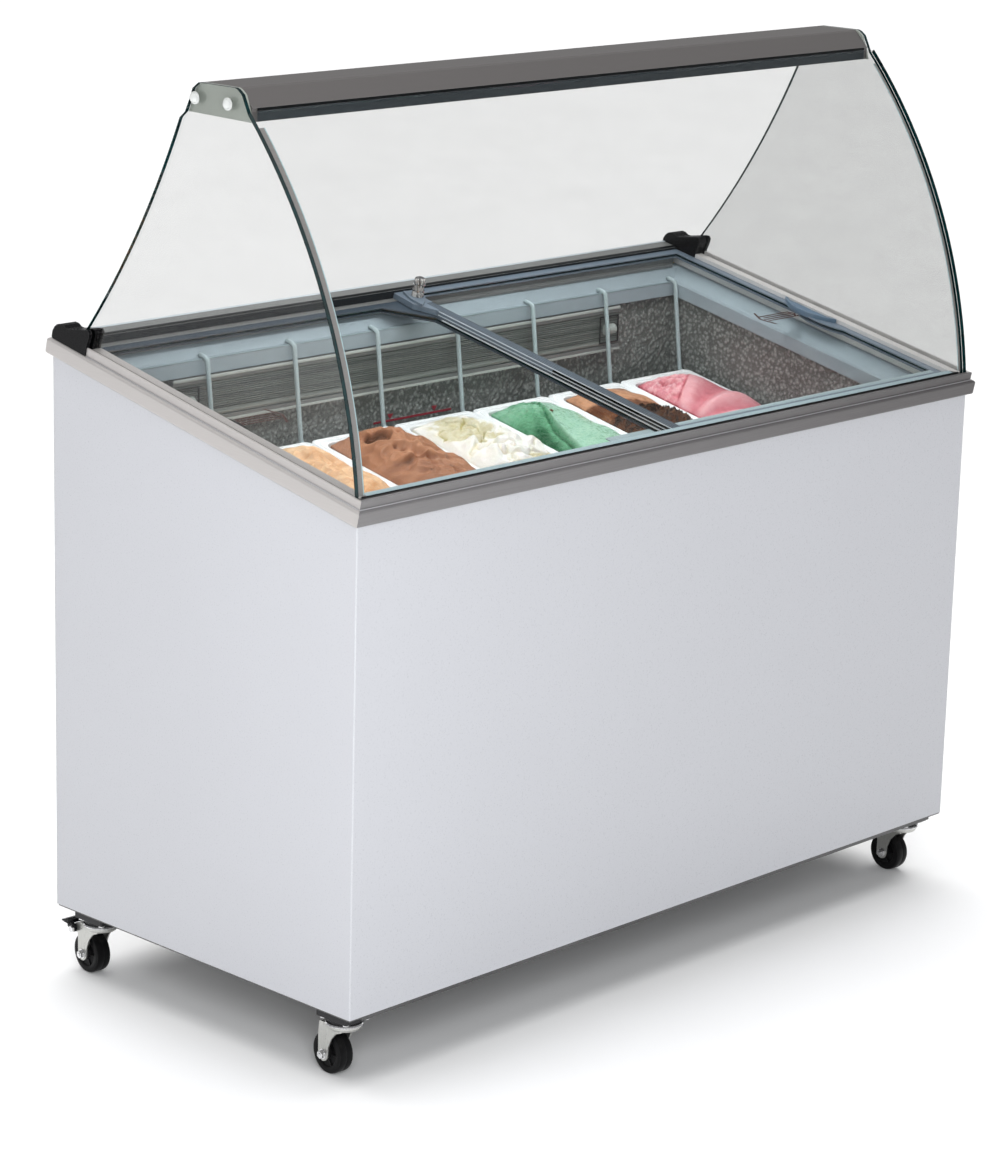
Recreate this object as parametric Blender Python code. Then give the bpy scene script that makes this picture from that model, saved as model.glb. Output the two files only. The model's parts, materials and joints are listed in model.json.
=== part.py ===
"""Ice cream dipping cabinet: a chest on casters with six pans, two sliding glass lids and a curved canopy.

Blender units are metres and +Z is up. The origin is on the floor, under the middle of the body.
The customer's side faces -Y and the operator's side faces +Y. Dimensions below are in millimetres.
"""

import math

import bmesh
import bpy
from mathutils import Matrix, Vector

MM = 0.001
GAP = 0.3  # clearance between neighbouring pieces

# Body
WIDTH = 1300.0
DEPTH = 611.0
BODY_BOTTOM = 104.0
TOP_FRONT = 786.0  # height of the body's slanting top at the customer's side
TOP_BACK = 916.0
SHEET = 1.2
TOP_EDGE = TOP_FRONT - 3.4  # front height of the body panels, which end under the frame's lip
LEFT, RIGHT, FRONT, BACK = -WIDTH / 2, WIDTH / 2, -DEPTH / 2, DEPTH / 2
RISE = (TOP_BACK - TOP_FRONT) / DEPTH
TILT = math.atan(RISE)
SLANT = DEPTH / math.cos(TILT)  # length of the slanting top from front to back

# Tank
LINER_INSET = 54.0
LINER_SHEET = 1.5
LINER_FLOOR = 165.0
STEP_FLOOR = 460.0  # the tank is shallower over the machine compartment
STEP_END = LEFT + 390.0
FOAM_INSET = 42.5
KNOB_HEIGHT = 9.0
MACHINE_END = LEFT + 330.0
MACHINE_TOP = 400.0
COLLAR_SKIRT = 66.0
LEDGE_DROP = 14.0  # how far the collar's ledge lies below the body's top

# Top frame: insets of the lid tracks from the body's faces, heights above the slanting top
SIDE_TRACK = 24.0
FRONT_TRACK, FRONT_LEDGE = 24.3, 34.0
BACK_TRACK, BACK_LEDGE = 28.0, 38.0
LEDGE_HEIGHT = 14.2
LOW_LEDGE_HEIGHT = 4.9
STRIP_HEIGHT = 29.0
FIN_TOP = 32.2
BAND_OUT = 7.7
BRACKET_START = 555.0  # along the slant, where the corner brackets begin
SHELF_HEIGHT = 20.2

# Lids
LID_THICK = 8.6
LOWER_LID_Z = 5.2
UPPER_LID_Z = 14.5
LID_RAIL = 14.0
CENTRE_STILE = 19.5
LID_GLASS = 4.0
REBATE = 4.0
UPPER_LID_LEFT = -6.5
LOWER_LID_RIGHT = 9.5
LOCK_U, LOCK_V, LOCK_RADIUS = -1.0, 566.0, 8.5

# Canopy: the front glass is part of a cylinder; places are measured from the body's front face
GLASS = 6.0
CANOPY_RADIUS = 831.0
CANOPY_Y, CANOPY_Z = 827.15, 733.6
GLASS_FOOT_Z = 809.2
GLASS_HEAD_Z = 1290.9
CANOPY_TOP = 1319.0
SIDE_GLASS_INSET = 2.3
REAR_ARC_RADIUS, REAR_ARC_Y, REAR_ARC_Z = 1381.4, 1610.0, 1834.0

# Pans
PAN_COUNT = 6
PAN_PITCH = 168.2
PAN_WIDTH, PAN_LENGTH, PAN_DEEP = 166.6, 360.0, 120.0
PAN_RIM = 9.0
PAN_WALL = 2.0
FIRST_PAN_X = LEFT + 219.5 + PAN_PITCH / 2
RIM_DROP = 138.4  # rim plane below the slanting top, square to it
PAN_BACK_V = 487.0
WIRE = 3.0
WIRE_STAND_OFF = 11.0  # wire centre line in front of the collar's skirt

# Casters
WHEEL_RADIUS, WHEEL_WIDTH = 30.0, 24.0
TRAIL = 23.0
SWIVEL = math.radians(-4.0)  # how far the casters are turned at rest
CASTER_X = WIDTH / 2 - 37.0
CASTER_FRONT_Y, CASTER_BACK_Y = FRONT + 48.0, FRONT + 556.0
PEDAL_Y, PEDAL_Z = 38.0, 66.0  # brake pedal's pin, from the swivel axis and the floor


# ---------------------------------------------------------------- tools


def clear_scene():
    for thing in list(bpy.data.objects):
        bpy.data.objects.remove(thing, do_unlink=True)


def material(name, colour, roughness, metallic=0.0, transmission=0.0):
    made = bpy.data.materials.new(name)
    made.use_nodes = True
    shader = made.node_tree.nodes["Principled BSDF"]
    shader.inputs["Base Color"].default_value = (*colour, 1.0)
    shader.inputs["Roughness"].default_value = roughness
    shader.inputs["Metallic"].default_value = metallic
    shader.inputs["Transmission Weight"].default_value = transmission
    made.diffuse_color = (*colour, 1.0)
    return made


def arc(centre_a, centre_b, radius, start, end, steps):
    """Points on a circle from start to end, in degrees."""
    turns = [math.radians(start + (end - start) * i / steps) for i in range(steps + 1)]
    return [(centre_a + radius * math.cos(t), centre_b + radius * math.sin(t)) for t in turns]


def rounded_rectangle(half_a, half_b, radius, steps=3):
    corners = [(1, 1, 0), (-1, 1, 90), (-1, -1, 180), (1, -1, 270)]
    points = []
    for a, b, start in corners:
        centre = a * (half_a - radius), b * (half_b - radius)
        points += arc(*centre, radius, start, start + 90, steps)
    return points


def prism(outline, low, high, axis="z"):
    """A closed solid: the outline, swept from low to high along an axis."""
    place = {
        "x": lambda a, b, s: (s, a, b),
        "y": lambda a, b, s: (a, s, b),
        "z": lambda a, b, s: (a, b, s),
    }[axis]
    return loft([[place(a, b, s) for a, b in outline] for s in (low, high)])


def loft(rings):
    """A closed solid through rings with the same number of points, with flat ends."""
    mesh = bmesh.new()
    rows = [[mesh.verts.new(p) for p in ring] for ring in rings]
    for below, above in zip(rows, rows[1:]):
        for i in range(len(below)):
            j = (i + 1) % len(below)
            mesh.faces.new((below[i], below[j], above[j], above[i]))
    mesh.faces.new(rows[0])
    mesh.faces.new(rows[-1])
    bmesh.ops.recalc_face_normals(mesh, faces=mesh.faces)
    return mesh


def hoop(rings):
    """A closed ring-shaped solid: each ring is one corner's profile, joined to the next all the way round."""
    mesh = bmesh.new()
    rows = [[mesh.verts.new(p) for p in ring] for ring in rings]
    for k, below in enumerate(rows):
        above = rows[(k + 1) % len(rows)]
        for i in range(len(below)):
            j = (i + 1) % len(below)
            mesh.faces.new((below[i], below[j], above[j], above[i]))
    bmesh.ops.recalc_face_normals(mesh, faces=mesh.faces)
    return mesh


def turned(profile, segments, axis="z"):
    """A turned solid from (radius, height) points; points at radius 0 become the poles."""
    mesh = bmesh.new()
    rows = []
    for radius, height in profile:
        if radius == 0:
            rows.append([mesh.verts.new((0, 0, height))] * segments)
            continue
        ring = arc(0, 0, radius, 0, 360, segments)[:-1]
        rows.append([mesh.verts.new((a, b, height)) for a, b in ring])
    if profile[0][0] > 0 and profile[-1][0] > 0:
        rows.append(rows[0])  # a profile that never meets the axis closes on itself, around a bore
    for below, above in zip(rows, rows[1:]):
        for i in range(segments):
            j = (i + 1) % segments
            corners = [below[i], below[j], above[j], above[i]]
            mesh.faces.new(list(dict.fromkeys(corners)))
    if axis == "x":
        mesh.transform(Matrix.Rotation(math.pi / 2, 4, "Y"))
    if axis == "y":
        mesh.transform(Matrix.Rotation(-math.pi / 2, 4, "X"))
    bmesh.ops.recalc_face_normals(mesh, faces=mesh.faces)
    return mesh


def box(low, high):
    outline = [(low[0], low[1]), (high[0], low[1]), (high[0], high[1]), (low[0], high[1])]
    return prism(outline, low[2], high[2])


def rod(path, radius, sides=6):
    """A round bar along a path of points, mitred at each bend."""
    points = [Vector(p) for p in path]
    steps = [(b - a).normalized() for a, b in zip(points, points[1:])]
    side = steps[0].orthogonal().normalized()
    rings = []
    for i, point in enumerate(points):
        before, after = steps[max(i - 1, 0)], steps[min(i, len(steps) - 1)]
        ahead = (before + after).normalized()
        side = (side - before * side.dot(before)).normalized()
        up = before.cross(side)
        ring = []
        for a, b in arc(0, 0, radius, 0, 360, sides)[:-1]:
            spoke = side * a + up * b
            ring.append(point + spoke - before * (spoke.dot(ahead) / before.dot(ahead)))
        rings.append(ring)
        side = (side - after * side.dot(after)).normalized()
    return loft(rings)


def bend(corner, before, after, radius, steps=3):
    """Points of a rounded corner in a path, between the points before and after it."""
    corner, before, after = Vector(corner), Vector(before), Vector(after)
    start = corner + (before - corner).normalized() * radius
    end = corner + (after - corner).normalized() * radius
    points = []
    for i in range(steps + 1):
        t = i / steps
        points.append(start * (1 - t) ** 2 + corner * (2 * t * (1 - t)) + end * t**2)
    return points


def rounded_path(corners, radius, steps=3):
    path = [Vector(corners[0])]
    for before, corner, after in zip(corners, corners[1:], corners[2:]):
        path += bend(corner, before, after, radius, steps)
    return path + [Vector(corners[-1])]


def joined(meshes):
    """Several closed solids in one mesh."""
    whole = bmesh.new()
    for part in meshes:
        data = bpy.data.meshes.new("part")
        part.to_mesh(data)
        part.free()
        whole.from_mesh(data)
        bpy.data.meshes.remove(data)
    return whole


def shear_top(mesh, above):
    """Lifts what stands above a height so that it follows the body's slanting top."""
    for vert in mesh.verts:
        if vert.co.z > above:
            vert.co.z += RISE * (vert.co.y - FRONT)
    return mesh


def make_object(name, mesh, look=None, parent=None, location=(0, 0, 0), smooth=None):
    data = bpy.data.meshes.new(name)
    mesh.transform(Matrix.Scale(MM, 4))
    mesh.to_mesh(data)
    mesh.free()
    if look:
        data.materials.append(look)
    if smooth:
        data.shade_smooth()
        data.set_sharp_from_angle(angle=math.radians(smooth))
    made = bpy.data.objects.new(name, data)
    bpy.context.collection.objects.link(made)
    made.parent = parent
    made.location = Vector(location) * MM
    return made


def change(target, mesh, operation="DIFFERENCE"):
    """Cuts, joins or keeps what a target shares with a tool that lies in the target's own space."""
    tool = make_object(target.name + "_tool", mesh, parent=target)
    tool.hide_render = True
    tool.display_type = "WIRE"
    step = target.modifiers.new(operation.lower(), "BOOLEAN")
    step.operation = operation
    step.object = tool
    step.solver = "EXACT"
    return target


def empty(name, location, rotation=(0, 0, 0), parent=None):
    made = bpy.data.objects.new(name, None)
    bpy.context.collection.objects.link(made)
    made.parent = parent
    made.location = Vector(location) * MM
    made.rotation_euler = rotation
    return made


# ---------------------------------------------------------------- body


def make_body(looks):
    left, right, front, back = LEFT, RIGHT, FRONT, BACK - SHEET - GAP
    outer = [(left, back), *arc(left + 2, front + 2, 2, 180, 270, 3)]
    outer += [*arc(right - 2, front + 2, 2, 270, 360, 3), (right, back)]
    inner = [(right - SHEET, back), (right - SHEET, front + SHEET)]
    inner += [(left + SHEET, front + SHEET), (left + SHEET, back)]
    casing = shear_top(prism(outer + inner, BODY_BOTTOM, TOP_EDGE), TOP_EDGE - 1)
    make_object("outer_casing", casing, looks["white_steel"])

    panel = box((left, BACK - SHEET, BODY_BOTTOM), (right, BACK, TOP_EDGE))
    panel = make_object("rear_panel", shear_top(panel, TOP_EDGE - 1), looks["white_steel"])
    vent = box((left + 38, BACK - 20, 128), (left + 302, BACK + 20, 372))
    change(panel, vent)

    make_tray(looks)
    make_foam(looks)
    make_liner(looks)
    make_collar(looks)


def make_tray(looks):
    """The chassis plate with a channel along the front and back edges, which carries the casters."""
    low, deck, top = 97.0, 101.5, BODY_BOTTOM - 0.4
    inside = SHEET + GAP
    plate = box((LEFT + inside, FRONT + inside, deck), (RIGHT - inside, BACK - inside, top))
    tray = make_object("base_tray", plate, looks["dark_steel"])
    for near, far in ((FRONT + 3, FRONT + 70), (BACK - 98, BACK - 3)):
        change(tray, box((LEFT + 27, near, low), (RIGHT - 27, far, deck + 1)), "UNION")


def make_foam(looks):
    inside = SHEET + GAP + 0.1
    near, far = FRONT + inside, BACK - inside - 0.3
    block = box((LEFT + inside, near, BODY_BOTTOM + 0.2), (RIGHT - inside, far, TOP_EDGE - 1))
    foam = make_object("insulation", shear_top(block, TOP_EDGE - 2), looks["foam"])
    low = TOP_FRONT - 19
    notch = box((LEFT + 17.5, FRONT + 27.0, low), (RIGHT - 17.5, BACK - 29.0, TOP_FRONT + 50))
    change(foam, shear_top(notch, 0))
    wide = STEP_END + LINER_INSET - FOAM_INSET
    cavity = [(LEFT + FOAM_INSET, STEP_FLOOR - GAP), (wide - 20, STEP_FLOOR - GAP)]
    cavity += [(wide - 20, LINER_FLOOR - GAP), (RIGHT - FOAM_INSET, LINER_FLOOR - GAP)]
    cavity += [(RIGHT - FOAM_INSET, TOP_BACK + 60), (LEFT + FOAM_INSET, TOP_BACK + 60)]
    change(foam, prism(cavity, FRONT + FOAM_INSET, BACK - FOAM_INSET, "y"))
    change(foam, box((LEFT - 10, FRONT + 60, 80), (MACHINE_END, BACK + 10, MACHINE_TOP)))


def make_liner(looks):
    rim = TOP_FRONT - 17.5

    def shell(inset, floor_drop, top):
        low, step = LINER_FLOOR + floor_drop, STEP_FLOOR + floor_drop
        turn = STEP_END + inset - LINER_INSET
        side = [(LEFT + inset, step), (turn, step), (turn, low), (RIGHT - inset, low)]
        side += [(RIGHT - inset, top), (LEFT + inset, top)]
        return shear_top(prism(side, FRONT + inset, BACK - inset, "y"), TOP_FRONT - 60)

    liner = make_object("inner_liner", shell(LINER_INSET, 0, rim), looks["stucco"])
    change(liner, shell(LINER_INSET + LINER_SHEET, LINER_SHEET, TOP_FRONT + 40))


def make_collar(looks):
    """The plastic throat between the lids and the tank, with a ledge that the pan rack hangs on."""
    # inset from the sides, the front and the back, then height from the body's top
    profile = [
        (18.0, 28.0, 30.0, -0.3),
        (30.0, 38.0, 42.0, -0.3),
        (58.0, 58.0, 58.0, -LEDGE_DROP),
        (COLLAR_SKIRT, COLLAR_SKIRT, COLLAR_SKIRT, -15.0),
        (COLLAR_SKIRT, COLLAR_SKIRT, COLLAR_SKIRT, -36.0),
        (64.3, 64.3, 64.3, -36.0),
        (64.3, 64.3, 64.3, -17.0),
        (57.0, 57.0, 57.0, -16.2),
        (29.0, 37.0, 41.0, -2.4),
        (18.0, 28.0, 30.0, -2.4),
    ]
    corners = []
    for x_sign, at_back in ((-1, False), (1, False), (1, True), (-1, True)):
        ring = []
        for side, front, back, height in profile:
            y = BACK - back if at_back else FRONT + front
            z = TOP_FRONT + height + RISE * (y - FRONT)
            ring.append((x_sign * (WIDTH / 2 - side), y, z))
        corners.append(ring)
    make_object("collar", hoop(corners), looks["collar_plastic"])


# ---------------------------------------------------------------- top frame


def band(lip_rise):
    """Outer face of every frame extrusion, from the lip over the body's edge to the top of its rounded band."""
    low = [(-3.0, -3.0), (0.6, -3.0), *arc(BAND_OUT - 3, lip_rise, 3, -90, 0, 3)]
    return low + arc(BAND_OUT - 4, 16.2, 4, 0, 90, 4)


def fin(slot_floor, slot_inner):
    """The upright outside the canopy glass, the slot that holds the glass and the strip inside it."""
    upright = [(1.5, 20.2), (1.5, FIN_TOP - 0.5), (1.0, FIN_TOP), (-1.3, FIN_TOP), (-1.8, FIN_TOP - 0.5)]
    return upright + [(-1.8, slot_floor), (-slot_inner, slot_floor), (-slot_inner, STRIP_HEIGHT)]


def ledges(track, ledge):
    """The steps that the upper and the lower lid slide on."""
    steps = [(-track, LEDGE_HEIGHT), (-ledge, LEDGE_HEIGHT), (-ledge, LOW_LEDGE_HEIGHT)]
    return steps + [(-ledge - 7.0, LOW_LEDGE_HEIGHT), (-ledge - 7.0, 0.4)]


def frame_profiles():
    """Each profile as (distance out from the body's face, height above its slanting top)."""
    side = band(0.0) + fin(14.0, 8.9)
    side += [(-SIDE_TRACK, STRIP_HEIGHT), (-SIDE_TRACK, 0.4), (-3.0, 0.4)]
    front = band(0.9) + fin(20.2, 13.3) + [(-FRONT_TRACK, STRIP_HEIGHT)]
    front += ledges(FRONT_TRACK, FRONT_LEDGE) + [(-3.0, 0.4)]
    back = band(0.0) + [(2.5, 20.2), (2.5, 26.4), (1.9, 27.0), (-BACK_TRACK, 27.0)]
    back += ledges(BACK_TRACK, BACK_LEDGE) + [(-3.0, 0.4)]
    return side, front, back


def make_frame(looks, top):
    side, front, back = frame_profiles()
    mitre = GAP / 2

    for name, sign in (("frame_left", -1), ("frame_right", 1)):
        near = [(sign * (WIDTH / 2 + out), mitre - out, up) for out, up in side]
        far = [(sign * (WIDTH / 2 + out), SLANT + out - mitre, up) for out, up in side]
        bar = make_object(name, loft([near, far]), looks["aluminium"], top)
        inner, outer = sorted((sign * (WIDTH / 2 - 40), sign * (WIDTH / 2 + 12)))
        change(bar, box((inner, BRACKET_START, SHELF_HEIGHT), (outer, SLANT + 20, 50)))
        inner, outer = sorted((sign * (WIDTH / 2 - 40), sign * (WIDTH / 2 - 1.8)))
        change(bar, box((inner, -30, 20.2), (outer, 13.3, 50)))

    for name, profile, at_back in (("frame_front", front, False), ("frame_rear", back, True)):
        ends = []
        for sign in (-1, 1):
            ends.append(
                [
                    (sign * (WIDTH / 2 + out - mitre), SLANT + out if at_back else -out, up)
                    for out, up in profile
                ]
            )
        bar = make_object(name, loft(ends), looks["aluminium"], top)
        if at_back:
            reach = SIDE_TRACK + 1.0
            change(bar, box((LEFT - 12, SLANT - 60, SHELF_HEIGHT), (LEFT + reach, SLANT + 20, 50)))
            change(bar, box((RIGHT - reach, SLANT - 60, SHELF_HEIGHT), (RIGHT + 12, SLANT + 20, 50)))

    make_brackets(looks, top)


def make_brackets(looks, top):
    """The moulded corner pieces that hold the side glasses' rear corners."""
    low = SHELF_HEIGHT + GAP
    outline = [(BRACKET_START + GAP, low), (SLANT + 1, low), (SLANT + 3.5, low + 2.0), (628.0, 31.0)]
    outline += [(625.0, 38.0), (620.5, 43.0), (614.0, 46.0), (607.0, 46.5), (600.0, 44.0)]
    outline += [(594.0, 44.6), (562.0, 56.6), (556.5, 57.4), (552.4, 54.0), (552.2, 48.0), (555.3, 33.5)]
    for name, sign in (("corner_bracket_left", -1), ("corner_bracket_right", 1)):
        inner, outer = sorted((sign * (WIDTH / 2 - SIDE_TRACK), sign * (WIDTH / 2 + 3.8)))
        bracket = make_object(name, prism(outline, inner, outer, "x"), looks["black_plastic"], top)
        a = sign * (WIDTH / 2 - SIDE_GLASS_INSET + 0.3)
        b = sign * (WIDTH / 2 - SIDE_GLASS_INSET - GLASS - 0.3)
        slot = box((min(a, b), 540, 0), (max(a, b), 592, 75))
        change(bracket, slot)


# ---------------------------------------------------------------- canopy


def canopy_arc(radius, low_z, high_z, steps):
    """Points (y from the front face, z) on a curve parallel to the front glass, from the foot up."""
    start = math.degrees(math.asin((low_z - CANOPY_Z) / CANOPY_RADIUS))
    end = math.degrees(math.asin((high_z - CANOPY_Z) / CANOPY_RADIUS))
    return arc(CANOPY_Y, CANOPY_Z, radius, 180 - start, 180 - end, steps)


def from_front(points):
    return [(FRONT + y, z) for y, z in points]


PLATE_TOP = [(228.0, 1311.2), (236.0, 1317.0), (241.4, CANOPY_TOP), (312.3, CANOPY_TOP), (323.8, 1310.5)]


def make_canopy(looks):
    outside = canopy_arc(CANOPY_RADIUS, GLASS_FOOT_Z, GLASS_HEAD_Z, 24)
    inside = canopy_arc(CANOPY_RADIUS - GLASS, GLASS_FOOT_Z, GLASS_HEAD_Z, 24)
    pane = from_front(outside + inside[::-1])
    edge = WIDTH / 2 - SIDE_GLASS_INSET
    make_object("front_glass", prism(pane, -edge, edge, "x"), looks["glass"], smooth=20)

    slot_floor = 14.4 / math.cos(TILT)
    corner_y, corner_z = 566.0, 952.0
    cheek = canopy_arc(CANOPY_RADIUS - GLASS - 0.7, GLASS_FOOT_Z, GLASS_HEAD_Z, 24)
    cheek += PLATE_TOP + [(328.6, 1298.3), (338.5, 1278.4)]
    top_angle = math.degrees(math.atan2(1270.0 - REAR_ARC_Z, 350.0 - REAR_ARC_Y))
    low_angle = math.degrees(math.atan2(corner_z - REAR_ARC_Z, corner_y - REAR_ARC_Y))
    cheek += arc(REAR_ARC_Y, REAR_ARC_Z, REAR_ARC_RADIUS, top_angle, low_angle, 14)
    cheek += [(y, TOP_FRONT + slot_floor + RISE * y) for y in (corner_y, 7.4)]
    plate = [(215.9, 1276.0), (219.5, 1290.0), *PLATE_TOP, (328.6, 1298.3), (338.0, 1278.4)]
    for side, sign in (("left", -1), ("right", 1)):
        glass = sorted((sign * edge, sign * (edge - GLASS)))
        make_object(f"side_glass_{side}", prism(from_front(cheek), *glass, "x"), looks["glass"], smooth=20)
        inner = edge - GLASS - GAP
        metal = sorted((sign * inner, sign * (inner - 3.0)))
        make_object(f"end_plate_{side}", prism(from_front(plate), *metal, "x"), looks["plate_grey"])

    rail = [(216.9, 1294.6), (239.5, 1317.2), (243.0, CANOPY_TOP), (311.5, CANOPY_TOP)]
    rail += [(323.0, 1310.5), (330.0, 1295.0), (327.3, 1294.0), (320.8, 1308.6), (310.2, 1316.2)]
    rail += [(244.0, 1316.2), (222.5, 1295.0), (220.6, 1276.4), (217.2, 1276.5), (218.2, 1291.8)]
    reach = edge - GLASS - 2 * GAP - 3.0
    make_object("top_profile", prism(from_front(rail), -reach, reach, "x"), looks["canopy_grey"])


# ---------------------------------------------------------------- lids


def crescent(u, v, half_length, depth, direction, steps=8):
    """Points of a shallow bulge centred on (u, v), leaning towards direction, from low v to high v."""
    points = []
    for i in range(steps + 1):
        t = -1 + 2 * i / steps
        points.append((u + direction * depth * (1 - t * t), v + half_length * t))
    return points


def lid_opening(left, right, near, far, upper, grow):
    """The hole that holds the glass; it goes round the finger grip and, in the lower lid, the corner gusset."""
    left, right, near, far = left - grow, right + grow, near - grow, far + grow
    if upper:
        bulge = crescent(right, 271.0, 48 - grow, 13 - grow, -1)
        return [(left, near), (right, near), *bulge, (right, far), (left, far)]
    bulge = crescent(left, 296.0, 48 - grow, 13 - grow, 1)[::-1]
    return [(left, near), (right, near), (right, 513.0), (right - 58.0, far), (left, far), *bulge]


def make_lid(looks, top, side):
    """A framed sliding lid. The left lid runs on the lower ledges and the right lid on the upper ones."""
    upper = side == "right"
    base = UPPER_LID_Z if upper else LOWER_LID_Z
    left = UPPER_LID_LEFT if upper else LEFT + SIDE_TRACK + 0.6
    right = RIGHT - SIDE_TRACK - 0.6 if upper else LOWER_LID_RIGHT
    near = (FRONT_TRACK if upper else FRONT_LEDGE) + 0.5
    far = SLANT - (BACK_TRACK if upper else BACK_LEDGE) - 0.5
    outline = [(left, near), (right, near), (right, far), (left, far)]
    if upper:
        tab = [(left - 14, far), (left - 18, 550), (left - 0.5, 518)]
        outline = [(left, near), (right, near), (right, far), *tab]
    frame = prism(outline, base, base + LID_THICK)
    frame = make_object(f"{side}_lid_frame", frame, looks["lid_plastic"], top)

    hole_left = left + (CENTRE_STILE if upper else LID_RAIL)
    hole_right = right - (LID_RAIL if upper else CENTRE_STILE)
    span = hole_left, hole_right, near + LID_RAIL, far - LID_RAIL, upper
    change(frame, prism(lid_opening(*span, 0.0), base - 5, base + 30))
    groove = base + 2.0
    change(frame, prism(lid_opening(*span, REBATE), groove, groove + LID_GLASS + 2 * GAP))
    pane = prism(lid_opening(*span, REBATE - GAP), groove + GAP, groove + GAP + LID_GLASS)
    make_object(f"{side}_lid_glass", pane, looks["glass"], top)
    if upper:
        deck = base + LID_THICK
        block = [(-8.0, 590.0), (-19.0, 562.0), (-21.0, 534.0), (-4.0, 546.0), (10.0, 560.0), (10.0, 586.0)]
        change(frame, prism(block, deck - 1, deck + 4), "UNION")
        make_lock(looks, top, deck + 4 + GAP)


def make_lock(looks, top, base):
    r = LOCK_RADIUS
    profile = [(0, 0), (r + 0.8, 0), (r + 0.8, 6), (r - 0.6, 7.5), (r - 0.6, 23), (r, 24), (r, 27)]
    barrel = turned(profile + [(r - 1.5, 28.6), (0, 28.6)], 20)
    barrel = make_object("lock_barrel", barrel, looks["chrome"], top, (LOCK_U, LOCK_V, base), smooth=35)
    change(barrel, box((-5.0, -0.8, 24.5), (5.0, 0.8, 32)))


# ---------------------------------------------------------------- inside the tank


def make_lamp(looks):
    """The lamp channel on the tank's back wall and its ribbed clear cover."""
    wall = BACK - LINER_INSET - LINER_SHEET - GAP
    face, low, high = wall - 13.0, 794.0, 864.5
    start, end = LEFT + 160.0, LEFT + 1102.0
    channel = [(wall, low), (wall, high), (face, high), (face, high - 9), (face + 2, high - 9)]
    channel += [(face + 2, high - 2), (wall - 2, high - 2), (wall - 2, low + 2), (face + 2, low + 2)]
    channel += [(face + 2, low + 9), (face, low + 9), (face, low)]
    make_object("lamp_housing", prism(channel, start, end, "x"), looks["aluminium"])

    rows, bottom, top = 18, low + 3.0, high - 3.0
    outside = []
    for i in range(rows + 1):
        outside.append((face + (3.1 if i % 2 else 2.4), bottom + (top - bottom) * i / rows))
    lens = outside + [(face + 4.8, top), (face + 4.8, bottom)]
    make_object("lamp_lens", prism(lens, start + 1.0, end - 1.0, "x"), looks["clear_plastic"])


def on_slant(v, n):
    """World (y, z) of a place v along and n square to the slanting top."""
    y = FRONT + v * math.cos(TILT) - n * math.sin(TILT)
    z = TOP_FRONT + v * math.sin(TILT) + n * math.cos(TILT)
    return y, z


def make_rack(looks):
    """Seven hanging wires, one at each pan edge, tied together by two cross rods."""
    run_n = -RIM_DROP - 5.0 - 1.0 - WIRE
    skirt_back, skirt_front = BACK - COLLAR_SKIRT, FRONT + COLLAR_SKIRT
    drop_back, drop_front = skirt_back - WIRE_STAND_OFF + 3.5, skirt_front + WIRE_STAND_OFF - 3.5

    def hook(y):
        return y, TOP_FRONT - LEDGE_DROP + WIRE + 0.6 + RISE * (y - FRONT)

    wires = []
    for i in range(PAN_COUNT + 1):
        x = FIRST_PAN_X + (i - 0.5) * PAN_PITCH
        corners = [(x, *hook(skirt_back + 6.5)), (x, *hook(drop_back)), (x, *on_slant(PAN_BACK_V + 14, run_n))]
        corners += [(x, *on_slant(90.0, run_n)), (x, *hook(drop_front)), (x, *hook(skirt_front - 6.5))]
        wires.append(rod(rounded_path(corners, 5.0, 2), WIRE, 6))
    rack = make_object("pan_rack", joined(wires), looks["coated_wire"], smooth=70)

    cross = []
    start = FIRST_PAN_X - 0.5 * PAN_PITCH - 2
    end = FIRST_PAN_X + (PAN_COUNT - 0.5) * PAN_PITCH + 2
    for v in (PAN_BACK_V - PAN_LENGTH - 4.0, PAN_BACK_V + 4.0):
        y, z = on_slant(v, run_n - WIRE)
        cross.append(rod([(start, y, z), (end, y, z)], WIRE, 6))
    change(rack, joined(cross), "UNION")


def pan_ring(half_a, half_b, radius, height, steps=3):
    return [(a, b, height) for a, b in rounded_rectangle(half_a, half_b, radius, steps)]


def make_pans(looks):
    """Six pans that hang in the rack by their rims, each with its ice cream."""
    half_w, half_l = PAN_WIDTH / 2, PAN_LENGTH / 2
    body_w, body_l = half_w - PAN_RIM, half_l - PAN_RIM - 8
    draft = 5.0
    outer = [
        pan_ring(body_w - draft, body_l - draft, 18, -PAN_DEEP),
        pan_ring(body_w, body_l, 20, -5.0),
        pan_ring(half_w, half_l, 10, -5.0),
        pan_ring(half_w, half_l, 10, 0.0),
        pan_ring(body_w - PAN_WALL, body_l - PAN_WALL, 18, 0.0),
        pan_ring(body_w - draft - PAN_WALL, body_l - draft - PAN_WALL, 16, -PAN_DEEP + PAN_WALL),
    ]
    fill = PAN_WALL + 0.8
    for i in range(PAN_COUNT):
        y, z = on_slant(PAN_BACK_V - half_l, -RIM_DROP)
        place = empty(f"pan_place_{i + 1}", (FIRST_PAN_X + i * PAN_PITCH, y, z), (TILT, 0, 0))
        make_object(f"pan_{i + 1}", loft(outer), looks["white_plastic"], place, smooth=50)
        scoop = [
            pan_ring(body_w - draft - fill, body_l - draft - fill, 15, -PAN_DEEP + fill),
            pan_ring(body_w - fill - 0.7, body_l - fill - 0.7, 17, -8.0),
            pan_ring(body_w - 9, body_l - 10, 20, 10.0),
            pan_ring(body_w - 26, body_l - 34, 22, 26.0),
            pan_ring(body_w - 52, body_l - 80, 18, 36.0),
        ]
        make_object(f"ice_cream_{i + 1}", loft(scoop), looks[f"ice_{i + 1}"], place, smooth=60)


# ---------------------------------------------------------------- machinery


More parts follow.
